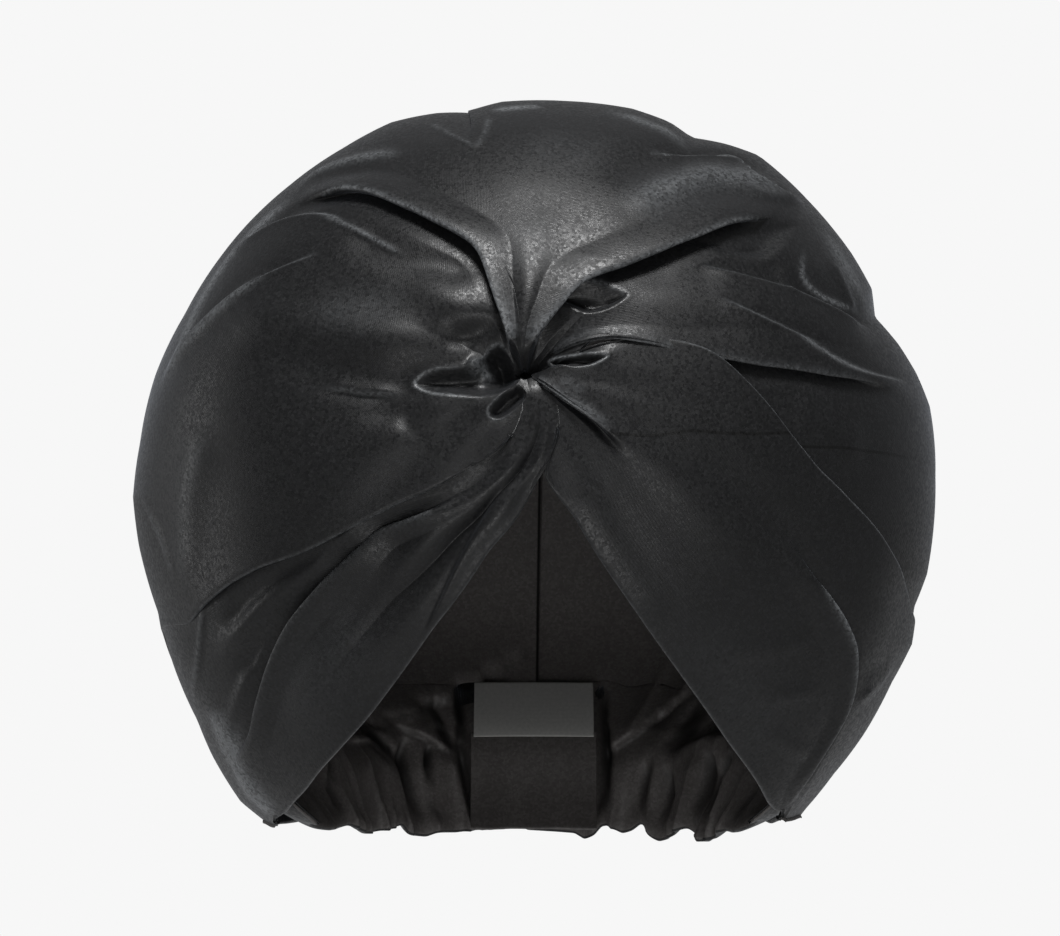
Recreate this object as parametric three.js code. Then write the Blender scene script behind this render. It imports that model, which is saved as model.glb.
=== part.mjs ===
// Twist-front hair bonnet: a soft satin bag in two halves, gathered at the front into a twist,
// with two wraps that leave the twist downwards and an elastic casing round the nape.
// Millimetres, +Z up, the front faces -Y. The origin is the middle of the head opening.
import * as THREE from 'three';
import { mergeVertices } from 'three/addons/utils/BufferGeometryUtils.js';

// Driving sizes
const clothWall = 2;
const gap = 0.4;
const bag = { halfWidth: 135, front: 115, back: 132, above: 127, below: 154, waist: 122 };
const twist = { x: -3, z: 155, ring: 14, sink: 11, spread: 28 };
const knot = { slant: 0.14, slantTurn: 80, grooves: 5, grooveDepth: 0.13, spiral: 2.6 };
const neckLean = 0.22;
const rim = { nape: -5, rise: 21, pinch: 12, pinchHeight: 30, pinchSpread: 20 };
const gathers = { count: 34, depth: 3.2, fadeFrom: 12, fadeTo: 70, startsAt: 95, fullAt: 125 };
const unevenness = { count: 5, drift: 1.6 };
const casing = { top: 31, end: 98, meetsFrom: 106, meetsTo: 136, tuck: 10.5, tuckFrom: 154, tuckTo: 112 };
const tab = { width: 45, top: 30, thick: 1.6 };
const tag = { width: 43, height: 17, foot: 29.5, thick: 1.2 };

// Where each fold line runs: its turn round the twist, in degrees anticlockwise from the photo's right,
// at four distances from the twist (near 30, mid 90, far 150, rim 220 mm and beyond)
const stations = [30, 90, 150, 220];
const paths = {
  rightHem: { near: -79, mid: -55.5, far: -39, rim: -19 },
  flapFold: { near: -32, mid: -11.5, far: -10, rim: -14 },
  rightEdge: { near: 18, mid: 4.5, far: 4.5, rim: 15 },
  petalEdge: { near: 21.5, mid: 17.5, far: 24, rim: 27 },
  petalRidge: { near: 42, mid: 29, far: 30, rim: 40 },
  rightDent: { near: 56, mid: 43, far: 37, rim: 44 },
  rightPleat: { near: 70, mid: 51, far: 55, rim: 60 },
  topDent: { near: 84, mid: 72, far: 63, rim: 68 },
  topSeam: { near: 97, mid: 98.5, far: 94, rim: 90 },
  leftPleat: { near: 108, mid: 118, far: 124, rim: 128 },
  leftRidge: { near: 150, mid: 141, far: 147, rim: 150 },
  leftRoll: { near: 218, mid: 189, far: 173, rim: 156 },
  leftEdge: { near: 235, mid: 202, far: 186, rim: 166 },
  drapeValley: { near: 243, mid: 211, far: 197, rim: 180 },
  drapeFold: { near: 254, mid: 222, far: 208, rim: 187 },
  leftHem: { near: 280, mid: 239, far: 220, rim: 199 },
};

// Folds of each piece: a step is high on the side named by over (-1 towards smaller turns) and its other
// side falls by the share drop, a ridge is round
const folds = {
  crown_right: [
    { path: 'petalEdge', kind: 'step', over: 1, lift: 4.5, drop: 1, width: 7, from: 18, to: 190 },
    { path: 'petalRidge', kind: 'ridge', lift: 5, width: 11, from: 25, to: 220 },
    { path: 'rightDent', kind: 'ridge', lift: -4, width: 8, from: 40, to: 210 },
    { path: 'rightPleat', kind: 'step', over: 1, lift: 6, drop: 1, width: 8, from: 18, to: 210 },
    { path: 'topDent', kind: 'ridge', lift: -3.5, width: 9, from: 70, to: 210 },
    { path: 'topSeam', kind: 'ridge', lift: 2.5, width: 16, from: 70, to: 220 },
  ],
  crown_left: [
    { path: 'topSeam', kind: 'ridge', lift: -1.5, width: 12, from: 70, to: 220 },
    { path: 'leftPleat', kind: 'step', over: -1, lift: 5.5, drop: 1, width: 7, from: 25, to: 210 },
    { path: 'leftRidge', kind: 'ridge', lift: 4, width: 17, from: 30, to: 230 },
    { path: 'leftRoll', kind: 'ridge', lift: 5, width: 15, from: 30, to: 270 },
  ],
  wrap_right: [
    { path: 'flapFold', kind: 'step', over: -1, lift: 3.5, drop: 0, width: 7, from: 70, to: 330 },
  ],
  wrap_left: [
    { path: 'drapeValley', kind: 'ridge', lift: -5, width: 9, from: 20, to: 260 },
    { path: 'drapeFold', kind: 'ridge', lift: 4, width: 8, from: 20, to: 300 },
  ],
};

// Cloth panels: the paths they run between, the columns of each stretch, and how far each path's end
// stands off the bag; tuck widens an edge under its neighbour, in degrees
const panels = {
  crown_right: [
    { path: 'rightEdge', tuck: -8, columns: 8, stand: -0.5 },
    { path: 'petalEdge', tuck: 0, columns: 5, stand: 0 },
    { path: 'petalRidge', tuck: 0, columns: 5, stand: 0 },
    { path: 'rightDent', tuck: 0, columns: 5, stand: 0 },
    { path: 'rightPleat', tuck: 0, columns: 6, stand: 0 },
    { path: 'topDent', tuck: 0, columns: 6, stand: 0 },
    { path: 'topSeam', tuck: 0, columns: 0, stand: 0 },
  ],
  crown_left: [
    { path: 'topSeam', tuck: 0, columns: 9, stand: 0 },
    { path: 'leftPleat', tuck: 0, columns: 8, stand: 0 },
    { path: 'leftRidge', tuck: 0, columns: 8, stand: 0 },
    { path: 'leftRoll', tuck: 0, columns: 5, stand: 2 },
    { path: 'leftEdge', tuck: 0, columns: 0, stand: 4 },
  ],
  wrap_right: [
    { path: 'rightHem', tuck: 0, columns: 8, stand: 0 },
    { path: 'flapFold', tuck: 0, columns: 7, stand: 2.7 },
    { path: 'rightEdge', tuck: 0, columns: 0, stand: 2.7 },
  ],
  wrap_left: [
    { path: 'leftEdge', tuck: -7, columns: 5, stand: 0.5 },
    { path: 'drapeValley', tuck: 0, columns: 5, stand: -1 },
    { path: 'drapeFold', tuck: 0, columns: 5, stand: -1 },
    { path: 'leftHem', tuck: 0, columns: 0, stand: 0 },
  ],
};
const rows = 18;
const tuckClear = { from: 52, to: 85 };
const foldFade = { start: 25, end: 60 };
const crowding = 0.45;

// Finishes
const satin = new THREE.MeshStandardMaterial({ color: 0x1b1c1e, roughness: 0.42, metalness: 0 });
const ribbon = new THREE.MeshStandardMaterial({ color: 0x2c2c2e, roughness: 0.55, metalness: 0 });

const radians = THREE.MathUtils.degToRad;
const smooth = THREE.MathUtils.smoothstep;
const blend = THREE.MathUtils.lerp;

// The bag is an egg-shaped dome whose four quarters have their own half-axes
const middle = new THREE.Vector3(0, 0, bag.waist);

function halfAxes(way) {
  return {
    x: bag.halfWidth,
    y: way.y < 0 ? bag.front : bag.back,
    z: way.z > 0 ? bag.above : bag.below,
  };
}

function bagPoint(way) {
  const half = halfAxes(way);
  const reach = 1 / Math.hypot(way.x / half.x, way.y / half.y, way.z / half.z);
  return way.clone().multiplyScalar(reach).add(middle);
}

function bagNormal(point) {
  const way = point.clone().sub(middle);
  const half = halfAxes(way);
  return new THREE.Vector3(way.x / half.x ** 2, way.y / half.y ** 2, way.z / half.z ** 2).normalize();
}

// Meridians of the cloth: circles that leave the twist at a given turn and close under the neck
const knotRise = (twist.z - bag.waist) / bag.above;
const knotPoint = new THREE.Vector3(twist.x, -bag.front * Math.sqrt(1 - knotRise ** 2), twist.z);
const knotWay = knotPoint.clone().sub(middle).normalize();
const neckWay = new THREE.Vector3(0, neckLean, -1).normalize();
const sideWay = new THREE.Vector3(-knotWay.y, knotWay.x, 0).normalize();
const riseWay = sideWay.clone().cross(knotWay).negate().normalize();
riseWay.multiplyScalar(Math.sign(riseWay.z));

function meridian(turn) {
  const angle = radians(turn);
  const leave = sideWay.clone().multiplyScalar(Math.cos(angle)).addScaledVector(riseWay, Math.sin(angle));
  const axis = leave.clone().cross(neckWay.clone().sub(knotWay)).normalize();
  const hub = axis.clone().multiplyScalar(axis.dot(knotWay));
  const start = knotWay.clone().sub(hub);
  const radius = start.length();
  const side = leave.multiplyScalar(radius);
  const end = neckWay.clone().sub(hub);
  const sweep = Math.atan2(end.dot(side), end.dot(start));
  return { hub, start, side, sweep: sweep < 0 ? sweep + 2 * Math.PI : sweep };
}

function onMeridian(line, share) {
  const angle = line.sweep * share;
  const way = line.hub.clone();
  way.addScaledVector(line.start, Math.cos(angle)).addScaledVector(line.side, Math.sin(angle));
  return bagPoint(way.normalize());
}

// Height of the bonnet's lower edge, by the angle round the head (0 front, 180 nape)
function aroundHead(point) {
  return Math.atan2(point.x, -point.y);
}

function rimHeight(around) {
  return rim.nape + rim.rise * (1 + Math.cos(around)) / 2;
}

// The cloth panels end at the rim in front and at the elastic casing's upper edge behind
function clothFoot(around) {
  const behind = smooth(Math.abs(around), radians(casing.meetsFrom), radians(casing.meetsTo));
  return blend(rimHeight(around), casing.top + gap, behind);
}

// Share of a meridian at which it meets the lower edge, and its length up to there
function trim(turn) {
  const line = meridian(turn);
  let inside = 0.05;
  let outside = 1;
  for (let step = 0; step < 30; step++) {
    const share = (inside + outside) / 2;
    const point = onMeridian(line, share);
    if (point.z > clothFoot(aroundHead(point))) {
      inside = share;
    } else {
      outside = share;
    }
  }
  let length = 0;
  let last = onMeridian(line, 0);
  for (let step = 1; step <= 40; step++) {
    const next = onMeridian(line, inside * step / 40);
    length += next.distanceTo(last);
    last = next;
  }
  return { line, share: inside, length };
}

// Turn of a fold line at a distance from the twist, on a smooth curve through its four stations
const tracks = Object.fromEntries(Object.entries(paths).map(([name, path]) => {
  const turns = [path.near, path.mid, path.far, path.rim];
  const points = turns.map((turn, i) => new THREE.Vector2(stations[i], turn));
  return [name, new THREE.SplineCurve(points)];
}));

function turnAt(name, distance) {
  const last = stations.length - 1;
  const held = THREE.MathUtils.clamp(distance, stations[0], stations[last]);
  let span = 0;
  while (span < last - 1 && held > stations[span + 1]) {
    span += 1;
  }
  const share = (held - stations[span]) / (stations[span + 1] - stations[span]);
  return tracks[name].getPoint((span + share) / last).y;
}

// Gathers round the nape and the elastic's pull above them, both level and outwards from the head
function napeShift(point) {
  const around = Math.abs(aroundHead(point));
  const atNape = smooth(around, radians(gathers.startsAt), radians(gathers.fullAt));
  const fade = 1 - smooth(point.z, gathers.fadeFrom, gathers.fadeTo);
  const drift = unevenness.drift * Math.sin(unevenness.count * aroundHead(point));
  const wave = Math.sin(gathers.count * aroundHead(point) + drift);
  const pull = Math.exp(-(((point.z - rim.pinchHeight) / rim.pinchSpread) ** 2));
  return atNape * (gathers.depth * fade * wave - rim.pinch * pull);
}

function gathered(point) {
  const outwards = new THREE.Vector3(point.x, point.y, 0).normalize();
  return point.clone().addScaledVector(outwards, napeShift(point));
}

// Height of the folds over the bag, in millimetres
function foldHeight(pieceName, turn, distance, perDegree) {
  let height = 0;
  for (const fold of folds[pieceName]) {
    const across = (turn - turnAt(fold.path, distance)) * perDegree / fold.width;
    const start = smooth(distance, fold.from, fold.from + foldFade.start);
    const end = 1 - smooth(distance, fold.to - foldFade.end, fold.to);
    const ridge = Math.exp(-(across ** 2));
    const step = fold.over * across * Math.exp((1 - across ** 2) / 2);
    const kept = step < 0 ? fold.drop : 1;
    height += fold.lift * start * end * (fold.kind === 'step' ? step * kept : ridge);
  }
  return height;
}

// A cloth panel is a thin box whose width runs across the folds and whose height runs from twist to rim
function closed(geometry) {
  geometry.deleteAttribute('normal');
  geometry.deleteAttribute('uv');
  const whole = mergeVertices(geometry, 1e-4);
  whole.computeVertexNormals();
  return whole;
}

function bentBox(columns, stacks, place) {
  const geometry = new THREE.BoxGeometry(1, 1, 1, columns, stacks, 1);
  const spots = geometry.attributes.position;
  for (let i = 0; i < spots.count; i++) {
    const column = Math.round((spots.getX(i) + 0.5) * columns);
    const point = place(column, 0.5 - spots.getY(i), spots.getZ(i) < 0);
    spots.setXYZ(i, point.x, point.y, point.z);
  }
  return closed(geometry);
}

// Finds the stretch of a panel that a column lies in, and crowds the columns towards the fold lines
function stretchOf(panel, column) {
  let index = 0;
  let before = 0;
  while (index < panel.length - 2 && column > before + panel[index].columns) {
    before += panel[index].columns;
    index += 1;
  }
  const even = (column - before) / panel[index].columns;
  const share = even - crowding * Math.sin(2 * Math.PI * even) / (2 * Math.PI);
  return { from: panel[index], to: panel[index + 1], share };
}

function clothPanel(pieceName) {
  const panel = panels[pieceName];
  const columns = panel.reduce((sum, edge) => sum + edge.columns, 0);
  const lastStation = stations[stations.length - 1];
  const place = (column, reach, inner) => {
    const { from, to, share } = stretchOf(panel, column);
    const turnFor = (distance) => {
      const clear = smooth(distance, tuckClear.from, tuckClear.to);
      const first = turnAt(from.path, distance) + from.tuck * clear;
      return blend(first, turnAt(to.path, distance) + to.tuck * clear, share);
    };
    const distance = blend(twist.ring, trim(turnFor(lastStation)).length, reach);
    let turn = turnFor(distance);
    const cut = trim(turn);
    const part = cut.share * distance / cut.length;
    const smoothPoint = onMeridian(cut.line, part);
    const perDegree = smoothPoint.distanceTo(onMeridian(meridian(turn + 1), part));
    const seamSide = column === 0 ? 1 : column === columns ? -1 : 0;
    turn += seamSide * gap / 2 / perDegree;
    const point = onMeridian(meridian(turn), part);
    const sink = twist.sink * Math.exp(-((distance / twist.spread) ** 2));
    const stand = blend(from.stand, to.stand, share) * smooth(distance, twist.ring, 60);
    const height = foldHeight(pieceName, turn, distance, perDegree) + stand - sink;
    const offset = height - (inner ? clothWall : 0);
    return gathered(point).addScaledVector(bagNormal(point), offset);
  };
  return named(pieceName, bentBox(columns, rows, place), satin);
}

function named(name, geometry, material) {
  const mesh = new THREE.Mesh(geometry, material);
  mesh.name = name;
  return mesh;
}

// The bag's wall at a height and an angle round the head, moved inwards by a depth
function insideBag(around, height, depth) {
  const scale = Math.sqrt(1 - ((bag.waist - height) / bag.below) ** 2);
  const halfDepth = Math.cos(around) > 0 ? bag.front : bag.back;
  const reach = scale / Math.hypot(Math.sin(around) / bag.halfWidth, Math.cos(around) / halfDepth);
  const wall = new THREE.Vector3(Math.sin(around) * reach, -Math.cos(around) * reach, height);
  const outwards = new THREE.Vector3(wall.x, wall.y, 0).normalize();
  return { wall, outwards: outwards.clone(), point: wall.addScaledVector(outwards, -depth) };
}

// Elastic casing: a gathered band that carries on the bag's lower edge and ends inside the wraps.
// The wall slants here, so a thickness measured on the level is larger
const slant = 1.5;
const slantWall = slant * clothWall;

function napeBand() {
  const columns = 84;
  const place = (column, reach, inner) => {
    const around = radians(blend(casing.end, 360 - casing.end, column / columns));
    const aside = Math.abs(Math.PI - around);
    const tucked = smooth(aside, radians(180 - casing.tuckFrom), radians(180 - casing.tuckTo));
    const height = blend(casing.top, rimHeight(around), reach);
    const { wall, outwards, point } = insideBag(around, height, 0);
    const depth = casing.tuck * tucked - napeShift(wall) + (inner ? slantWall : 0);
    return point.addScaledVector(outwards, -depth);
  };
  return named('nape_band', bentBox(columns, 3, place), satin);
}

// Flat pieces at the middle of the nape, laid along the inside of the casing
function napePlate(name, size, foot, top, depth, material) {
  const columns = 8;
  const place = (column, share, inner) => {
    const height = blend(top, foot, share);
    const pull = rim.pinch * Math.exp(-(((height - rim.pinchHeight) / rim.pinchSpread) ** 2));
    const inwards = depth + pull + (inner ? slant * size.thick : 0);
    const radius = insideBag(Math.PI, height, inwards).point.y;
    const around = Math.PI + blend(-0.5, 0.5, column / columns) * size.width / radius;
    return insideBag(around, height, inwards).point;
  };
  return named(name, bentBox(columns, 4, place), material);
}

// The twist: a small bundle with spiral grooves, drawn out on the slant and flattened towards the head
function twistKnot() {
  const size = twist.ring - 2 * gap;
  const geometry = new THREE.SphereGeometry(1, 28, 16);
  const spots = geometry.attributes.position;
  const outwards = bagNormal(knotPoint);
  for (let i = 0; i < spots.count; i++) {
    const way = new THREE.Vector3().fromBufferAttribute(spots, i);
    const turn = Math.atan2(way.y, way.x);
    const drawn = 1 - knot.slant * (1 - Math.cos(2 * turn + radians(knot.slantTurn)));
    const wave = 1 + Math.cos(knot.grooves * turn + knot.spiral * way.z);
    const groove = 1 - knot.grooveDepth * wave * (1 - way.z ** 2);
    const level = -twist.sink * (0.5 - 0.5 * way.z);
    const point = knotPoint.clone().addScaledVector(outwards, level);
    point.addScaledVector(sideWay, way.x * size * groove * drawn);
    point.addScaledVector(riseWay, way.y * size * groove * drawn);
    spots.setXYZ(i, point.x, point.y, point.z);
  }
  return named('twist_knot', closed(geometry), satin);
}

const bonnet = new THREE.Group();
const tabDepth = slantWall + gathers.depth + 2 * gap;
const tagDepth = tabDepth + slant * tab.thick + gap;
bonnet.add(clothPanel('crown_left'), clothPanel('crown_right'));
bonnet.add(clothPanel('wrap_left'), clothPanel('wrap_right'));
bonnet.add(twistKnot(), napeBand());
bonnet.add(napePlate('nape_tab', tab, rim.nape + 1, tab.top, tabDepth, satin));
bonnet.add(napePlate('label', tag, tag.foot, tag.foot + tag.height, tagDepth, ribbon));

export default bonnet;
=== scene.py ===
import math
import bmesh
import bpy
import numpy as np
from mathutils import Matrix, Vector
from mathutils.bvhtree import BVHTree


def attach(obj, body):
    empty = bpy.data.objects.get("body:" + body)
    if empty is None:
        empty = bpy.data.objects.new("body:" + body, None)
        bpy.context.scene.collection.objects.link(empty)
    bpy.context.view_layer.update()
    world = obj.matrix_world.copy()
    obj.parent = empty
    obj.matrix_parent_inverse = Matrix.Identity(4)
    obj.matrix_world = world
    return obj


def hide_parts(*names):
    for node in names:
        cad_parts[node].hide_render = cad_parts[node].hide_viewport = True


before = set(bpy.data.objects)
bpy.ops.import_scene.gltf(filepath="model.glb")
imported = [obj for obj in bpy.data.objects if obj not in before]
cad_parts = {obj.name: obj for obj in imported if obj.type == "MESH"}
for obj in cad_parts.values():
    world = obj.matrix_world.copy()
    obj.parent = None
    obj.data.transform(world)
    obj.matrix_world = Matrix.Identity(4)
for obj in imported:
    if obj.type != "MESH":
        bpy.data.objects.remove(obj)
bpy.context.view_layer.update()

mm = 0.001
print("frame loaded:", ", ".join(sorted(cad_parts)))


# small helpers on arrays

def easeBetween(value, low, high):
    share = np.clip((value - low) / (high - low), 0.0, 1.0)
    return share * share * (3.0 - 2.0 * share)


def unit(vectors):
    return vectors / np.linalg.norm(vectors, axis=-1, keepdims=True)


def along(vectors, amounts):
    return vectors * np.asarray(amounts)[..., None]


def ripple(across, length, size, seed, waves=9):
    # a seeded sum of slanting waves, mostly within one of zero
    draw = np.random.default_rng(seed)
    total = np.zeros(np.broadcast(across, length).shape)
    for _ in range(waves):
        heading, phase, stretch = draw.uniform(0, 2 * math.pi), draw.uniform(0, 2 * math.pi), draw.uniform(0.6, 1.7)
        run = across * math.cos(heading) + length * math.sin(heading)
        total += np.sin(run * 2 * math.pi / (size * stretch) + phase)
    return total / math.sqrt(waves)


# the bag: an egg of four quarters, and the fan of lines that leave the twist and close under the neck

bag = {"halfWidth": 135.0, "front": 115.0, "back": 132.0, "above": 127.0, "below": 154.0, "waist": 122.0,
       "neckLean": 0.22}
twist = {"x": -3.0, "z": 155.0, "ring": 2.5}
# how the cloth dives into the twist: turn in degrees, depth and reach in millimetres
twistDive = np.array([
    (-110, 2, 6), (-70, 2, 6), (-30, 5, 6), (10, 6, 7), (25, 10, 20), (50, 11, 22), (68, 10, 14), (80, 8, 6),
    (108, 8, 6), (118, 10, 14), (150, 12, 26), (185, 11, 22), (215, 6, 12), (240, 2.5, 7), (285, 2, 6), (330, 4, 6),
])
rim = {"nape": -5.0, "rise": 21.0, "pinch": 12.0, "pinchHeight": 30.0, "pinchSpread": 20.0}
casing = {"top": 31.0, "meetsFrom": 106.0, "meetsTo": 136.0, "tuck": 10.5, "tuckFrom": 154.0, "tuckTo": 112.0}

bagMiddle = np.array([0.0, 0.0, bag["waist"]])


def halfAxes(way):
    return np.stack([
        np.full(way.shape[:-1], bag["halfWidth"]),
        np.where(way[..., 1] < 0, bag["front"], bag["back"]),
        np.where(way[..., 2] > 0, bag["above"], bag["below"]),
    ], axis=-1)


def bagPoint(way):
    return way / np.linalg.norm(way / halfAxes(way), axis=-1, keepdims=True) + bagMiddle


def bagNormal(point):
    way = point - bagMiddle
    return unit(way / halfAxes(way) ** 2)


knotRise = (twist["z"] - bag["waist"]) / bag["above"]
knotPoint = np.array([twist["x"], -bag["front"] * math.sqrt(1 - knotRise ** 2), twist["z"]])
knotWay = unit(knotPoint - bagMiddle)
neckWay = unit(np.array([0.0, bag["neckLean"], -1.0]))
sideWay = unit(np.array([-knotWay[1], knotWay[0], 0.0]))
riseWay = unit(np.cross(knotWay, sideWay))
riseWay = riseWay * np.sign(riseWay[2])


def fanLine(turn):
    angle = np.radians(turn)
    leave = along(np.broadcast_to(sideWay, angle.shape + (3,)), np.cos(angle))
    leave = leave + along(np.broadcast_to(riseWay, angle.shape + (3,)), np.sin(angle))
    axis = unit(np.cross(leave, neckWay - knotWay))
    hub = along(axis, axis @ knotWay)
    start = knotWay - hub
    side = along(leave, np.linalg.norm(start, axis=-1))
    end = neckWay - hub
    sweep = np.arctan2((end * side).sum(-1), (end * start).sum(-1))
    return hub, start, side, np.where(sweep < 0, sweep + 2 * math.pi, sweep)


def fanPoint(turn, share):
    hub, start, side, sweep = fanLine(turn)
    angle = sweep * share
    return bagPoint(unit(hub + along(start, np.cos(angle)) + along(side, np.sin(angle))))


def aroundHead(point):
    return np.arctan2(point[..., 0], -point[..., 1])


def rimHeight(around):
    return rim["nape"] + rim["rise"] * (1 + np.cos(around)) / 2


def clothFoot(around):
    behind = easeBetween(np.abs(np.degrees(around)), casing["meetsFrom"], casing["meetsTo"])
    return rimHeight(around) * (1 - behind) + casing["top"] * behind


# how far each line of the fan runs before the cloth ends
fanTurns = np.arange(-110.0, 331.0, 1.0)
inside, outside = np.full(fanTurns.shape, 0.05), np.ones(fanTurns.shape)
for _ in range(30):
    half = (inside + outside) / 2
    spot = fanPoint(fanTurns, half)
    above = spot[..., 2] > clothFoot(aroundHead(spot))
    inside, outside = np.where(above, half, inside), np.where(above, outside, half)
fanShares = inside
fanSteps = np.linspace(0, 1, 41)[:, None]
fanRuns = fanPoint(np.broadcast_to(fanTurns, (41, len(fanTurns))), fanSteps * fanShares)
fanLengths = np.linalg.norm(np.diff(fanRuns, axis=0), axis=-1).sum(0)


def onFan(turn, distance):
    return fanPoint(turn, np.interp(turn, fanTurns, fanShares) * distance / np.interp(turn, fanTurns, fanLengths))


def stepPerDegree(turn, distance):
    return np.linalg.norm(onFan(turn + 0.5, distance) - onFan(turn - 0.5, distance), axis=-1)


# where the fold lines run: distance from the twist in millimetres, and degrees anticlockwise round it
lines = {
    "rightHem": [(12, -40), (33, -80), (50, -67), (81, -58), (119, -48), (151, -39.3), (165, -35), (176, -31.75),
                 (185, -29.3), (194, -26.3), (203, -23), (208, -22), (230, -22)],
    "wrapSlant": [(10, -37), (17, -35.5), (32, -32), (47, -33), (60, -31)],
    "flapFold": [(12, -30), (30, -20), (64, -9.5), (89, -13.5), (126, -12.5), (144, -11), (160, -10), (172, -11),
                 (182, -13), (189, -18.5), (197, -20.5), (203, -21.3), (230, -20.5)],
    "rightEdge": [(12, 30), (40, 25), (57, 20), (68, 17), (76, 12.5), (85, 8.5), (98, 4), (112, 2), (132, 2.5),
                  (159, 4.5), (183, 7.5), (207, 11.5), (230, 17)],
    "wrapSeam": [(12, -36), (33, -32.5), (60, -9.5), (94, 3.5), (120, 11.5), (150, 19), (180, 26), (221, 34.5)],
    "petalEdge": [(10, 42), (21, 33.5), (40, 22), (57, 16), (84, 16.5), (115, 20), (156, 27), (205, 28)],
    "petalRidge": [(12, 50), (30, 44), (60, 35), (90, 28), (120, 27), (150, 30), (180, 34), (205, 38), (230, 41)],
    "rightDent": [(12, 60), (30, 56), (60, 46), (90, 42), (120, 37), (150, 36.5), (180, 39), (205, 42), (230, 45)],
    "rightPleat": [(6, 77), (13, 68.5), (19, 66), (25, 63), (36, 61.5), (43, 57), (51, 53), (65, 50.5), (84, 49.5),
                   (98, 50), (119, 50.5), (137, 52), (170, 57), (205, 60)],
    "topDent": [(12, 85), (30, 84), (60, 78), (90, 72), (120, 68), (150, 61), (180, 64), (205, 67), (230, 68)],
    "wedgeMiddle": [(5, 97), (15, 92), (30, 87), (60, 86)],
    "topSeam": [(12, 95), (30, 97), (60, 100), (90, 98.5), (120, 95.5), (150, 94.6), (180, 94), (205, 93.6),
                (230, 93.4), (300, 93.2), (360, 92.8), (420, 93.1)],
    "leftPleat": [(10, 120), (18, 113), (34, 110), (44, 108.5), (50, 109), (56, 112), (67, 116), (82, 119),
                  (98, 120.5), (112, 122.5), (126, 125), (150, 127)],
    "leftRidge": [(12, 158), (30, 150), (60, 144), (90, 141), (120, 144), (150, 147), (180, 149), (205, 150)],
    "leftRoll": [(12, 230), (30, 218), (60, 203), (90, 189), (120, 180), (150, 173), (180, 165), (205, 159),
                 (230, 154)],
    "leftEdge": [(12, 268), (24, 257), (40, 233), (60, 218), (77, 210.5), (97, 203.5), (116, 196), (133, 191),
                 (154, 186), (171, 182.5), (190, 176), (205, 171), (230, 164)],
    "drapeValley": [(12, 280), (24, 268), (40, 244), (60, 227), (90, 212), (120, 203), (150, 196.5), (180, 190),
                    (205, 184), (230, 178)],
    "flapEdge": [(12, 283), (24, 270), (40, 246), (60, 226), (72, 217), (100, 210.5), (123, 206.5), (139, 205),
                 (152, 204), (171, 202), (194, 196), (230, 188)],
    "drapeFold": [(12, 288), (24, 274), (40, 252), (60, 236), (90, 223), (120, 216), (150, 210), (180, 202),
                  (205, 194), (230, 186)],
    "drapeCrease": [(12, 296), (24, 280), (40, 258), (60, 243), (90, 229.5), (120, 221.5), (150, 214.5), (180, 206),
                    (205, 197), (230, 189)],
    "drapeLast": [(12, 305), (24, 288), (40, 264), (60, 249), (90, 236.5), (120, 227.5), (150, 219), (180, 209),
                  (205, 200.5), (230, 193)],
    "leftHem": [(12, 322), (24, 300), (37, 276), (60, 255.5), (91, 242.5), (129, 230.5), (161, 218.75), (173, 214.75),
                (188, 209), (197, 205.75), (213, 199.5), (230, 199.5)],
}
fineDistances = np.arange(0.0, 521.0, 2.0)
softener = np.hanning(9)
softener /= softener.sum()


def softenLine(pairs):
    distances, turns = zip(*pairs)
    fine = np.interp(fineDistances, distances, turns)
    return np.convolve(np.pad(fine, 4, mode="edge"), softener, mode="valid")


tracks = {name: softenLine(pairs) for name, pairs in lines.items()}
lastStation = 230.0


def trackTurn(name, distance):
    return np.interp(distance, fineDistances, tracks[name])


# the folds' cross-sections, in millimetres from their line; near the twist every fold is narrower

def lapFold(fold, away, strength, size):
    # cloth that turns back under itself and out again, with its upper edge on the line
    width, low, lap = fold["width"] * size, fold["low"] * size, fold["lap"] * strength * size
    tight = np.arccos(np.clip(width / (2 * math.pi * np.maximum(lap, 1e-6)), -1, 1)) / math.pi
    edge = lap * np.sin(math.pi * tight) - width / 2 * tight
    centred = away - fold["over"] * edge
    onTop = centred * fold["over"] > 0
    share = np.clip(centred / (np.where(onTop, width, low) / 2), -1, 1)
    wave = np.sin(math.pi * share)
    lift = fold["over"] * fold["rise"] * strength * (0.35 + 0.65 * size) * wave
    # onEdge paints a highlight along the fold's upper edge
    onEdge = np.exp(-((centred * fold["over"] - tight * width / 2 - 0.8) / 1.7) ** 2) * (tight > 0.02) * strength
    return -lap * wave, lift * np.where(onTop, 1.0, fold.get("drop", 1.0)), onEdge


def ridgeFold(fold, away, strength, size):
    return 0.0, fold["rise"] * strength * (0.3 + 0.7 * size) * np.exp(-(away / (fold["width"] * size)) ** 2), 0.0


def creaseFold(fold, away, strength, size):
    return 0.0, fold["rise"] * strength * (0.3 + 0.7 * size) * np.exp(-np.abs(away / (fold["width"] * size))), 0.0


def stepFold(fold, away, strength, size):
    return 0.0, fold["rise"] * strength * np.exp(-np.abs(away) / fold["width"]), 0.0


crossSections = {"lap": lapFold, "ridge": ridgeFold, "crease": creaseFold, "step": stepFold}
fullSizeAt = 85.0   # distance from the twist at which a fold has its full width


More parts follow.
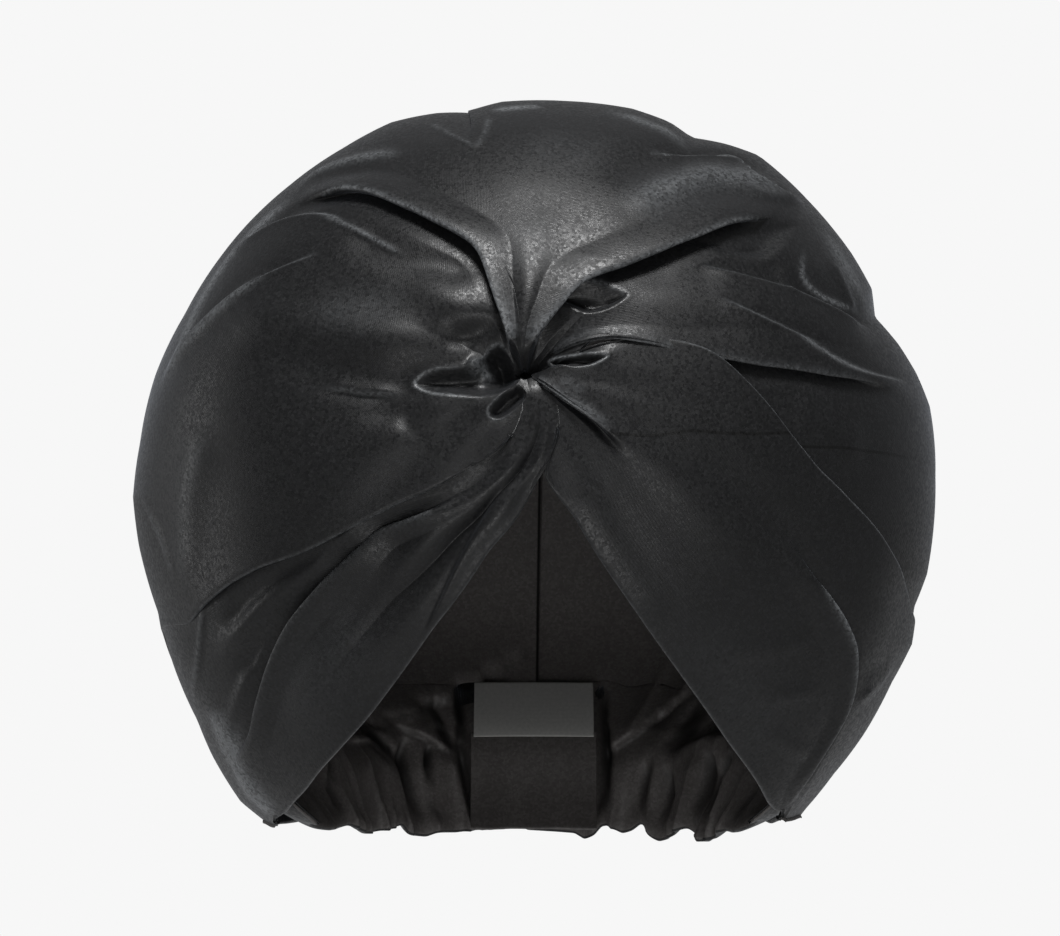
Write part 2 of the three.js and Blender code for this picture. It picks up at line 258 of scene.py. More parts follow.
def foldShifts(folds, turn, distance, perDegree):
    aside, height, glint = np.zeros(turn.shape), np.zeros(turn.shape), np.zeros(turn.shape)
    for fold in folds:
        size = np.clip(distance / fold.get("fullAt", fullSizeAt), 0.1, 1.0)
        line = trackTurn(fold["line"], distance)
        slant = (trackTurn(fold["line"], distance + 2) - trackTurn(fold["line"], distance - 2)) / 4 * perDegree
        away = (turn - line) * perDegree / np.sqrt(1 + slant ** 2)
        begin = easeBetween(distance, fold["from"], fold["from"] + fold.get("swell", 25))
        end = 1 - easeBetween(distance, fold["to"] - fold.get("fade", 60), fold["to"])
        sideways, lift, onEdge = crossSections[fold["kind"]](fold, away, begin * end, size)
        aside = aside + sideways
        height = height + lift
        glint = np.maximum(glint, fold.get("glint", 0.0) * onEdge)
    return aside, height, glint


def diveAt(turn, distance):
    depth, reach = (np.interp(turn, twistDive[:, 0], twistDive[:, column]) for column in (1, 2))
    return depth * np.exp(-(distance / reach) ** 2)


# the outline from the front: degrees anticlockwise from the right, millimetres to add
outline = np.array([
    (0, -0.9), (10, 0), (15, -1.4), (20, -3.7), (25, -7), (29, -2.7), (35, -1.3), (45, 0), (55, 1.9), (60, -0.4),
    (65, -3.4), (69, -1), (75, 0), (85, -0.6), (95, -0.7), (100, -2.4), (105, -1), (112, 0), (120, -1.6),
    (130, -2.7), (145, -3.5), (155, -3.7), (165, -2.1), (175, -1.5), (183, 0), (190, -1.3), (200, -4), (206, -2.8),
    (216, -1.4), (221, 1), (228, 3.5), (233, 2), (238, -2.5), (245, -2), (252, 0), (300, 0), (305, -1.6),
    (309, -3.2), (315, -3.6), (322, -2.5), (330, -1.9), (336, 0), (341, -2), (346, -0.4), (360, -0.9),
])


def outlineShift(point, normal):
    across, up = point[..., 0], point[..., 2] - bag["waist"]
    angle = np.degrees(np.arctan2(up, across)) % 360
    atEdge = np.exp(-(normal[..., 1] / 0.45) ** 2)
    heading = unit(np.stack([across, np.zeros(across.shape), up], axis=-1))
    return along(heading, np.interp(angle, outline[:, 0], outline[:, 1]) * atEdge)


# lines pressed into the cloth, given as they are seen from the front: ridges, where no other kind is said; glint
# paints a highlight along a line, shine is its width

eye = {"x": -1.35, "y": -1500.0, "z": 124.7}


def seenOnBag(seen):
    seen = np.array(seen, dtype=float)
    depth = np.zeros(len(seen))
    for _ in range(8):
        shrink = (depth - eye["y"]) / -eye["y"]
        x = eye["x"] + (seen[:, 0] - eye["x"]) * shrink
        z = eye["z"] + (seen[:, 1] - eye["z"]) * shrink
        rise = (z - bag["waist"]) / np.where(z > bag["waist"], bag["above"], bag["below"])
        depth = -bag["front"] * np.sqrt(np.maximum(1 - (x / bag["halfWidth"]) ** 2 - rise ** 2, 0.0))
    return np.stack([x, depth, z], axis=-1)


def roundCurve(knots, count, closed=False):
    # an even walk along a smooth curve through a few points
    knots = np.array(knots, dtype=float)
    ends = (knots[-1:], knots[:2]) if closed else (2 * knots[:1] - knots[1:2], 2 * knots[-1:] - knots[-2:-1])
    whole = np.concatenate([ends[0], knots, ends[1]])
    spans = len(whole) - 3
    place = np.linspace(0, spans, 40 * spans + 1)
    index = np.minimum(place.astype(int), spans - 1)
    t = (place - index)[:, None]
    a, b, c, d = (whole[index + k] for k in range(4))
    walk = 0.5 * (2 * b + (c - a) * t + (2 * a - 5 * b + 4 * c - d) * t ** 2 + (3 * b - a - 3 * c + d) * t ** 3)
    gone = np.concatenate([[0], np.cumsum(np.linalg.norm(np.diff(walk, axis=0), axis=1))])
    stops = np.linspace(0, gone[-1], count, endpoint=not closed)
    return np.stack([np.interp(stops, gone, walk[:, axis]) for axis in range(walk.shape[1])], axis=-1)


def pressedHeight(pressed, base):
    spots = base.reshape(-1, 3)
    height, glint = np.zeros(len(spots)), np.zeros(len(spots))
    for press in pressed:
        walk = seenOnBag(roundCurve(press["seen"], 90))
        course = unit(np.gradient(walk, axis=0))
        leftHand = np.cross(bagNormal(walk), course)
        gaps = (spots ** 2).sum(1)[:, None] - 2 * spots @ walk.T + (walk ** 2).sum(1)[None, :]
        near = gaps.argmin(1)
        away = ((spots - walk[near]) * leftHand[near]).sum(1)
        length = np.linalg.norm(np.diff(walk, axis=0), axis=1).sum()
        gone = near / (len(walk) - 1) * length
        taper = press.get("taper", 14.0)
        strength = easeBetween(gone, 0, taper) * easeBetween(length - gone, 0, taper)
        wide = press.get("width", 1.0)
        profile = np.exp(-(away / wide) ** 2)
        if press.get("kind") == "edge":
            # high on the left hand, with a short steep fall to the right
            upper = 0.5 + 0.5 * np.tanh(away / 0.7)
            fall = 0.6 * (1 - upper) * np.exp(-np.abs(away) / (0.5 * wide))
            profile = upper * np.exp(-np.abs(away) / wide) - fall
        beyond = np.sqrt(np.maximum(gaps[np.arange(len(spots)), near] - away ** 2, 0.0))
        held = strength * np.exp(-(beyond / 6.0) ** 2)
        height += press.get("rise", 0.0) * held * profile
        # a painted highlight along the line
        lit = np.exp(-(away / press.get("shine", 0.7)) ** 2)
        glint = np.maximum(glint, press.get("glint", 0.0) * held * lit)
    return height.reshape(base.shape[:-1]), glint.reshape(base.shape[:-1])


crownPresses = [
    # left of the twist: the slope under the pleat, the broad band, its hollow and the edge below it
    {"seen": [(-66, 205), (-45, 195.5), (-30, 193.5), (-15, 189)], "rise": -1.8, "width": 6},
    {"seen": [(-108, 180), (-79, 173), (-64, 171), (-53, 170), (-40, 173), (-31, 177), (-18, 177), (-9, 174)],
     "rise": 2.2, "width": 10, "taper": 24},
    {"seen": [(-100, 166), (-79, 161), (-59, 157), (-45, 156), (-32, 160), (-20, 165)], "rise": -2.4, "width": 8,
     "taper": 30},
    {"seen": [(-33, 168.5), (-24, 171), (-16, 173), (-9, 174)], "rise": -2.2, "width": 3.0, "taper": 9},
    {"seen": [(-24, 162.5), (-19.5, 160), (-15, 154.5)], "rise": 2.6, "width": 3.0, "taper": 4, "glint": 0.45,
     "shine": 2.6},
    {"seen": [(-74, 152.5), (-58, 150.3), (-44, 149.3)], "kind": "edge", "rise": 1.6, "width": 6, "taper": 10,
     "glint": 0.35},
    {"seen": [(-44, 145), (-42, 138), (-34, 134)], "rise": -0.7, "width": 2.6, "taper": 6},
    {"seen": [(-62, 141), (-46, 143), (-30, 140)], "rise": -1.2, "width": 4},
    {"seen": [(-35, 242), (-27, 237.5), (-19.2, 233.5)], "rise": 0.5, "width": 1.0, "taper": 4, "glint": 0.2},
    {"seen": [(-19.4, 233.5), (-17, 238.5), (-14.8, 244)], "rise": 0.5, "width": 1.0, "taper": 3, "glint": 0.22},
    # left shoulder: rims of the folds that run to the side
    {"seen": [(-43, 231.7), (-60, 230), (-73.5, 226), (-82, 220)], "rise": 1.2, "width": 4, "glint": 0.4,
     "shine": 2.5},
    {"seen": [(-82, 219), (-102, 200.5), (-116, 179), (-126, 150)], "rise": 0.3, "width": 5, "glint": 0.6,
     "shine": 4.5},
    {"seen": [(-88, 191), (-98, 185), (-110, 175), (-122, 162), (-128, 150)], "rise": 0.6, "width": 4, "glint": 0.42,
     "shine": 2.6},
    {"seen": [(-62, 207), (-73, 211.5), (-87, 209.5), (-100, 202), (-108, 195)], "kind": "edge", "rise": 1.3,
     "width": 5, "glint": 0.7},
    {"seen": [(-72, 198), (-90, 190.5), (-104, 182), (-118, 170), (-125, 160)], "kind": "edge", "rise": 1.3,
     "width": 6, "glint": 0.7},
    {"seen": [(-74, 211), (-60, 205.5), (-43, 196.5)], "rise": 0.6, "width": 1.3, "glint": 0.5},
    {"seen": [(-110, 140), (-116, 118), (-117, 100), (-119, 84)], "rise": 1.3, "width": 9, "glint": 0.16, "shine": 4},
    {"seen": [(-133, 117), (-126, 101), (-121, 85)], "rise": 0.8, "width": 1.4, "glint": 0.6},
    # right of the twist: the pocket under the pleat and the slopes below it
    {"seen": [(117, 172.5), (94, 184), (80, 188.5), (56, 194.5)], "kind": "edge", "rise": 1.8, "width": 7,
     "glint": 0.4},
    {"seen": [(128, 153), (107, 162), (88, 170), (60, 183)], "kind": "edge", "rise": 1.5, "width": 6, "taper": 20,
     "glint": 0.45},
    {"seen": [(92, 214), (76, 222), (68, 229.5), (56, 232), (38, 233)], "kind": "edge", "rise": 1.8, "width": 6,
     "glint": 0.7},
    {"seen": [(64, 222), (78, 217), (92, 214.5)], "rise": 1.0, "width": 2.5, "taper": 10},
    {"seen": [(40, 219), (58, 225), (66, 229)], "rise": 1.0, "width": 5},
    {"seen": [(87, 196), (86, 189), (90, 183)], "rise": 0.8, "width": 1.8, "taper": 6},
    {"seen": [(101, 197), (106.5, 186), (111, 177)], "rise": 1.0, "width": 2.6, "taper": 6},
    {"seen": [(31, 209.5), (42, 218), (58, 223.5), (75, 221.5), (86, 216.5)], "rise": 0.8, "width": 5, "glint": 0.32,
     "shine": 6},
    {"seen": [(23, 246), (45, 239), (55, 233.5)], "rise": 0.4, "width": 4, "glint": 0.4, "shine": 3.5},
    {"seen": [(92, 200), (92, 191), (99, 184), (113, 178)], "rise": 0.6, "width": 2, "glint": 0.5, "shine": 1.0},
    {"seen": [(97, 208), (105, 196), (112, 184), (113.5, 178)], "rise": 0.4, "width": 5, "glint": 0.34, "shine": 5.5},
    # painted sheen on the wedge, on the band left of the twist and on the petal
    {"seen": [(-6, 214), (-2, 200), (1, 186)], "glint": 0.10, "shine": 11},
    {"seen": [(-78, 180), (-58, 178), (-38, 181)], "glint": 0.09, "shine": 8},
    {"seen": [(12, 172), (18, 170), (25, 171)], "taper": 5, "glint": 0.16, "shine": 3},
    {"seen": [(-8, 236), (10, 232), (28, 226)], "glint": 0.06, "shine": 13},
    {"seen": [(-13.6, 246.2), (-7, 246.9), (2, 247.6)], "taper": 2, "glint": 0.6, "shine": 3.0},
    {"seen": [(85, 146), (100, 138), (112, 128)], "rise": 1.0, "width": 7, "taper": 10},
]
pressedLines = {
    "crown_left": crownPresses,
    "crown_right": crownPresses,
    "wrap_right": [
        {"seen": [(7, 156), (12, 152.5), (18, 149.5)], "taper": 4, "glint": 0.16, "shine": 2.6},
        {"seen": [(12, 122), (29, 93), (46, 71)], "rise": 0.9, "width": 6},
        {"seen": [(50, 140), (70, 118), (84, 102), (94, 88)], "rise": -1.2, "width": 9, "taper": 24},
        {"seen": [(76, 44), (86, 48), (96, 50)], "rise": 0.7, "width": 3, "taper": 8},
        {"seen": [(60, 62), (78, 63), (97, 67)], "rise": 0.6, "width": 4, "taper": 12},
        {"seen": [(48, 72), (70, 48), (82, 24)], "taper": 18, "glint": 0.045, "shine": 13},
        {"seen": [(78, 36), (86.5, 30.5), (94, 29)], "rise": 0.7, "width": 3, "taper": 8},
        {"seen": [(104, 48), (114, 52), (122, 60)], "rise": 1.2, "width": 4},
    ],
    "wrap_left": [
        {"seen": [(-109, 45), (-101.5, 28), (-93, 15), (-85, 7)], "rise": 0.6, "width": 5, "taper": 8, "glint": 1.0,
         "shine": 7},
        {"seen": [(-8, 122), (-16.5, 109), (-25, 94), (-33, 77.5), (-38, 68)], "kind": "edge", "rise": 1.6,
         "width": 5},
        {"seen": [(-52, 107), (-66, 97.5), (-88, 83.5), (-99.5, 71), (-109, 59)], "rise": 2.2, "width": 4.5,
         "taper": 18},
        {"seen": [(-40, 108), (-58, 97), (-82, 79), (-93, 66), (-103, 50)], "rise": -1.8, "width": 4, "taper": 18},
        {"seen": [(-58, 101), (-80, 91), (-98, 79), (-107, 68)], "rise": -2.0, "width": 3.5, "taper": 14},
        {"seen": [(-34, 114), (-52, 88.5), (-60.5, 77), (-72, 61)], "rise": -1.6, "width": 5, "taper": 20},
        {"seen": [(-54, 80), (-70, 58), (-84, 34)], "rise": 1.0, "width": 8, "taper": 20, "glint": 0.06, "shine": 12},
        {"seen": [(-97, 58), (-101, 44), (-105, 32)], "rise": 0.9, "width": 2.5, "taper": 10},
        {"seen": [(-113, 79), (-113.7, 63), (-115.5, 45)], "rise": 0.9, "width": 1.5, "taper": 10, "glint": 0.5},
    ],
}


# pockets beside the twist, where a fold stands open: rims as seen from the front, and how strong a painted highlight
# lies on each spot

pockets = [
    {"rim": [(-41, 153.5, 0.7), (-38, 157, 0.6), (-33, 159, 0.5), (-28, 159.5, 0.25), (-22, 161, 0.15),
             (-18, 164, 0.4), (-15.5, 167, 0.6), (-12, 168, 0.5), (-9, 165, 0.1), (-7, 159, 0.05),
             (-6.5, 153.5, 0.05), (-11.5, 150, 0.05), (-17, 149, 0.2), (-23, 149, 0.5), (-28.5, 149.5, 0.7),
             (-35.5, 150.5, 0.7)], "lip": 1.1, "deep": 3.6, "wall": 5.0, "skirt": 3.0},
    {"rim": [(-5, 152.5, 0), (-9, 151, 0.1), (-12, 148.5, 0.2), (-15.5, 144.5, 0.3), (-14.5, 141.5, 0.3),
             (-11.5, 141, 0.2), (-7.8, 143, 0.1),
             (-2.5, 148.5, 0)], "lip": 1.0, "deep": 3.4, "wall": 3.0, "skirt": 2.6},
    {"rim": [(13, 184.8, 0.5), (22, 185.3, 0.5), (31.5, 183.5, 0.12), (27.5, 179.4, 0.0), (21, 177.3, 0),
             (15, 178, 0), (11, 181, 0.1)],
     "lip": 0.4, "deep": 4.0, "wall": 3.6, "skirt": 2.5},
    {"rim": [(5.5, 163, 0.6), (15, 163.8, 0.7), (24.5, 162.8, 0.5), (21.5, 160.2, 0.5), (17, 158.8, 0.4),
             (11, 159, 0)],
     "lip": 0.7, "deep": 3.6, "wall": 2.2, "skirt": 2.0},
    {"rim": [(57, 198, 0), (68, 203, 0), (79, 207, 0), (90, 208, 0), (86, 201, 0), (81, 196, 0), (75, 195, 0),
             (66, 196.5, 0)],
     "lip": 0.2, "deep": 3.0, "wall": 6.0, "skirt": 3.0},
]


def asSeen(point):
    grow = -eye["y"] / (point[..., 1] - eye["y"])
    x, z = eye["x"] + (point[..., 0] - eye["x"]) * grow, eye["z"] + (point[..., 2] - eye["z"]) * grow
    return np.stack([x, z], axis=-1)


def pocketHeight(base):
    height, glint = np.zeros(base.shape[:-1]), np.zeros(base.shape[:-1])
    seen = asSeen(base)
    near = (base[..., 1] < 0) & (np.abs(seen[..., 0]) < 100) & (seen[..., 1] > 130) & (seen[..., 1] < 215)
    spots = seen[near]
    total, shine = np.zeros(len(spots)), np.zeros(len(spots))
    for pocket in pockets:
        walk = roundCurve(pocket["rim"], 160, closed=True)
        after = np.roll(walk, -1, axis=0)
        gaps = ((spots[:, None] - walk[None, :, :2]) ** 2).sum(-1)
        gap, nearest = np.sqrt(gaps.min(1)), gaps.argmin(1)
        rises = (walk[None, :, 1] > spots[:, None, 1]) != (after[None, :, 1] > spots[:, None, 1])
        reach = (after[:, 0] - walk[:, 0]) / np.where(after[:, 1] == walk[:, 1], 1e-9, after[:, 1] - walk[:, 1])
        cross = walk[None, :, 0] + (spots[:, None, 1] - walk[None, :, 1]) * reach[None]
        within = ((rises & (spots[:, None, 0] < cross)).sum(1) % 2) == 1
        floor = pocket["lip"] * np.exp(-gap / 0.6) - pocket["deep"] * easeBetween(gap, 0.2, pocket["wall"])
        total += np.where(within, floor, pocket["lip"] * np.exp(-gap / pocket["skirt"]))
        shine = np.maximum(shine, walk[nearest, 2] * np.exp(-(gap / 0.5) ** 2))
    height[near], glint[near] = total, shine
    return height, glint


# creases inside the nape, given as they are seen from the front: valleys, and edges that are high on the left hand

napeCreases = [
    {"seen": [(-83, 9.7), (-79.5, 3)], "deep": 2.5, "width": 1.2},
    {"seen": [(-79, 12), (-74, 2)], "deep": 2.5, "width": 1.2},
    {"seen": [(-69, 27.6), (-67, 16.5), (-62, 3)], "deep": 4.5, "width": 1.5},
    {"seen": [(-53, 30), (-51.5, 14)], "deep": 1.5, "width": 3},
    {"seen": [(-42.5, 33), (-41.5, 20), (-37, 1)], "deep": 8, "width": 2.4},
    {"seen": [(-34, 31), (-35.5, 21)], "deep": 5, "width": 2},
    {"seen": [(-35.5, 12), (-29, 1)], "deep": 5, "width": 1.8},
    {"seen": [(-24, 33), (-21.5, 18.6), (-18.5, 1)], "deep": 8, "width": 2.4},
    {"seen": [(-59, 40), (-53, 34), (-44, 25)], "deep": 5, "width": 2.2},
    {"seen": [(-36, 46), (-31, 37.5), (-26, 28)], "deep": 4.5, "width": 2.4},
    {"seen": [(-26, 52), (-24.6, 42), (-23, 31)], "deep": 5, "width": 2.6},
    {"seen": [(-53, 39), (-35.5, 45.5), (-19.7, 51.6), (-2, 62)], "kind": "edge", "deep": 4, "width": 7},
    {"seen": [(-51, 39.9), (-40, 35.4), (-25, 27.5)], "kind": "edge", "deep": 3, "width": 5},
    {"seen": [(-62, 32.5), (-53, 32), (-47, 26)], "kind": "edge", "deep": 2.5, "width": 5},
    {"seen": [(23, 50), (23.2, 30), (22.8, 1)], "deep": 8, "width": 2.4},
    {"seen": [(25, 29), (34.5, 35.4), (44.5, 42), (55, 51)], "kind": "edge", "deep": 4, "width": 8},
    {"seen": [(47, 30.5), (62, 35.5), (70, 33)], "kind": "edge", "deep": -2.5, "width": 5},
    {"seen": [(38, 25), (36, 14), (39, 1)], "deep": 6, "width": 2},
    {"seen": [(44, 23), (45.6, 15), (42.5, 3)], "deep": 5, "width": 2},
    {"seen": [(58, 29), (55.7, 16.5), (51, 2)], "deep": 7, "width": 2.4},
    {"seen": [(65, 29), (60, 18.5), (57, 6)], "deep": 5, "width": 2},
    {"seen": [(79, 17), (72, 1)], "deep": 5, "width": 1.6},
    {"seen": [(74, 17), (66.5, 4)], "deep": 4, "width": 1.6},
    {"seen": [(56, 45), (45, 29)], "deep": 4.5, "width": 4},
]


def napeRelief(points):
    # millimetres towards the front, and painted shade in the valleys and below the edges
    seen = asSeen(points).reshape(-1, 2)
    height, shade = np.zeros(len(seen)), np.zeros(len(seen))
    for crease in napeCreases:
        walk = roundCurve(crease["seen"], 60)
        course = unit(np.gradient(walk, axis=0))
        apart = seen[:, None] - walk[None]
        gaps = (apart ** 2).sum(-1)
        near = gaps.argmin(1)
        step = apart[np.arange(len(seen)), near]
        away = step[:, 1] * course[near, 0] - step[:, 0] * course[near, 1]
        beyond = np.abs((step * course[near]).sum(-1))
        share = near / (len(walk) - 1)
        strength = (0.25 + 0.75 * np.sin(math.pi * np.clip(share, 0, 1)) ** 0.5) * np.exp(-(beyond / 2.5) ** 2)
        deep, wide = crease["deep"], crease["width"]
        if crease.get("kind") == "edge":
            upper = 0.5 + 0.5 * np.tanh(away / 0.5)
            height += deep * strength * (upper - 0.5 * (1 - upper)) * np.exp(-np.abs(away) / wide)
            below = -away * np.sign(deep)
            dark = 0.85 * strength * easeBetween(below, 0.0, 0.6) * np.exp(-np.maximum(below, 0) / (0.35 * wide))
        else:
            height -= deep * strength * np.exp(-(away / wide) ** 2)
            dark = min(1.0, deep / 5) * strength * np.exp(-(away / (0.75 * wide)) ** 4)
        shade = np.maximum(shade, dark)
    return height.reshape(points.shape[:-1]), shade.reshape(points.shape[:-1])


# gathers round the nape: pillows of uneven width between tight creases, that fade out up the bag

gathers = {"from": 90.0, "spacing": (4.0, 12.0), "slant": 5.0, "skew": 0.45, "flatHalf": 14.0, "depth": 4.6,
           "startsAt": 95.0, "fullAt": 122.0,
           "tall": (48, 112), "deep": (0.6, 1.1), "seed": 11}
gatherDraw = np.random.default_rng(gathers["seed"])


def gatherCreases():
    sides = []
    for way in (1, -1):
        at = 180 + way * gathers["flatHalf"]
        side = [at]
        while abs(at - 180) < 180 - gathers["from"]:
            at += way * gatherDraw.uniform(*gathers["spacing"])
            side.append(at)
        sides += side
    return np.array(sorted(sides))


creases = gatherCreases()
pillowDeep = gatherDraw.uniform(*gathers["deep"], len(creases) + 1)
pillowTall = gatherDraw.uniform(*gathers["tall"], len(creases) + 1)
pillowSkew = gatherDraw.uniform(-gathers["skew"], gathers["skew"], len(creases) + 1)
creaseSlant = gatherDraw.uniform(-gathers["slant"], gathers["slant"], len(creases))
creaseSlant[np.abs(creases - 180) < 15] = 0
flatPillow = np.searchsorted(creases, 180.0)
pillowDeep[flatPillow], pillowTall[flatPillow] = 0.35, 60.0


def gatherWave(around, height):
    degrees = np.degrees(around) % 360
    lean = np.interp(degrees, creases, creaseSlant)
    degrees = degrees + lean * np.clip((height - 12) / 30, -1, 1.5)
    index = np.clip(np.searchsorted(creases, degrees), 1, len(creases) - 1)
    left, right = creases[index - 1], creases[index]
    inPillow = np.clip(2 * (degrees - left) / (right - left) - 1, -1, 1)
    inPillow = inPillow + pillowSkew[index] * (1 - inPillow ** 2)
    fade = 1 - easeBetween(height, 14, pillowTall[index])
    wide = np.clip((right - left) / 8.0, 0.55, 1.15)
    return pillowDeep[index] * wide * (1 - np.abs(inPillow) ** 2.4) ** 0.7 * fade


def napePull(point):
    around, height = aroundHead(point), point[..., 2]
    atNape = easeBetween(np.abs(np.degrees(around)), gathers["startsAt"], gathers["fullAt"])
    return -atNape * rim["pinch"] * np.exp(-((height - rim["pinchHeight"]) / rim["pinchSpread"]) ** 2)


def napePillows(point):
    around, height = aroundHead(point), point[..., 2]
    atNape = easeBetween(np.abs(np.degrees(around)), gathers["startsAt"], gathers["fullAt"])
    slack = 1 - easeBetween(height, 25, 75)
    return atNape * gathers["depth"] * (gatherWave(around, height) - 0.5 * slack)


def levelOut(point):
    return unit(point * np.array([1.0, 1.0, 0.0]))


# making a mesh: a grid whose points are moved into place, with its weave along the grid

noSeam = 9.0   # mark of cloth with no seam near it


def pieceFromShape(name, shape, finish):
    mesh = bpy.data.meshes.new(name)
    shape.to_mesh(mesh)
    shape.free()
    for material in finish:
        mesh.materials.append(material)
    piece = bpy.data.objects.new(name, mesh)
    bpy.context.scene.collection.objects.link(piece)
    return piece


def sheetFromGrid(name, points, weave, marks, wall, finish, outwards=None, slots=None):
    rows, columns = points.shape[0] - 1, points.shape[1] - 1
    shape = bmesh.new()
    bmesh.ops.create_grid(shape, x_segments=columns, y_segments=rows, size=0.5)
    low = min(vert.co.x for vert in shape.verts), min(vert.co.y for vert in shape.verts)
    span = -2 * low[0], -2 * low[1]
    places = {}
    markLayers = {key: shape.verts.layers.float.new(key) for key in marks}
    for vert in shape.verts:
        column = round((vert.co.x - low[0]) / span[0] * columns)
        row = round((vert.co.y - low[1]) / span[1] * rows)
        places[vert] = row, column
    for vert, (row, column) in places.items():
        vert.co = Vector(points[row, column]) * mm
        for key, layer in markLayers.items():
            vert[layer] = float(marks[key][row, column])
    weaveLayer = shape.loops.layers.uv.new("weave")
    for face in shape.faces:
        face.smooth = True
        if slots is not None:
            face.material_index = max(slots[places[vert]] for vert in face.verts)
        for loop in face.loops:
            row, column = places[loop.vert]
            loop[weaveLayer].uv = weave[0][row, column] * mm, weave[1][row, column] * mm
    shape.normal_update()
    if outwards is not None:
        middles = [(face, np.array(face.calc_center_median()) / mm) for face in shape.faces]
        if sum(face.normal.dot(Vector(outwards(middle))) for face, middle in middles) < 0:
            bmesh.ops.reverse_faces(shape, faces=shape.faces)
    piece = pieceFromShape(name, shape, finish)
    thick = piece.modifiers.new("wall", "SOLIDIFY")
    thick.thickness = wall * mm
    thick.offset = -1
    thick.material_offset = 1 if len(finish) > 1 else 0
    return piece


def settle(piece, node):
    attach(piece, "root")
    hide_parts(node)


# finishes

def fillSockets(tree, node, sockets):
    # a socket takes a fixed value or a link from another node
    for key, value in sockets.items():
        if isinstance(value, bpy.types.NodeSocket):
            tree.links.new(value, node.inputs[key])
        else:
            node.inputs[key].default_value = value


def addNode(tree, kind, sockets=None, **settings):
    node = tree.nodes.new(kind)
    for key, value in settings.items():
        setattr(node, key, value)
    fillSockets(tree, node, sockets or {})
    return node


def newMaterial(name):
    material = bpy.data.materials.new(name)
    material.use_nodes = True
    return material, material.node_tree, material.node_tree.nodes["Principled BSDF"]


def markOf(tree, key):
    return addNode(tree, "ShaderNodeAttribute", attribute_name=key).outputs["Fac"]


def mixColours(tree, share, first, second):
    return addNode(tree, "ShaderNodeMix", {0: share, 6: first, 7: second}, data_type="RGBA",
                   blend_type="MIX").outputs[2]


# glint is the colour of painted highlights and crease the colour of painted shade
satinLook = {
    "dark": (0.0080, 0.0082, 0.0088), "light": (0.0105, 0.0108, 0.0116), "spark": (0.016, 0.0164, 0.0176),
    "stops": (0.34, 0.56, 0.70), "cell": 0.85, "fleck": 1.0, "toneScale": 22,
    "toneShare": 0.2, "fleckShare": 0.4, "cellShare": 0.4,
    "seam": (0.002, 0.002, 0.002, 1), "seamReach": (0.25, 0.65), "crease": (0.006, 0.0055, 0.0055, 1),
    "glint": (0.20, 0.21, 0.22, 1), "glintSpread": (0.3, 1.6), "rough": 0.46, "glitter": 0.13,
    "weaveSize": 0.5, "weaveBump": 0.12, "weaveDeep": 0.1, "bump": 0.24, "bumpDeep": 0.30,
    "sheen": 0.12, "sheenRough": 0.32, "sheenTint": (0.80, 0.87, 1.0, 1), "anisotropy": 0.2,
}


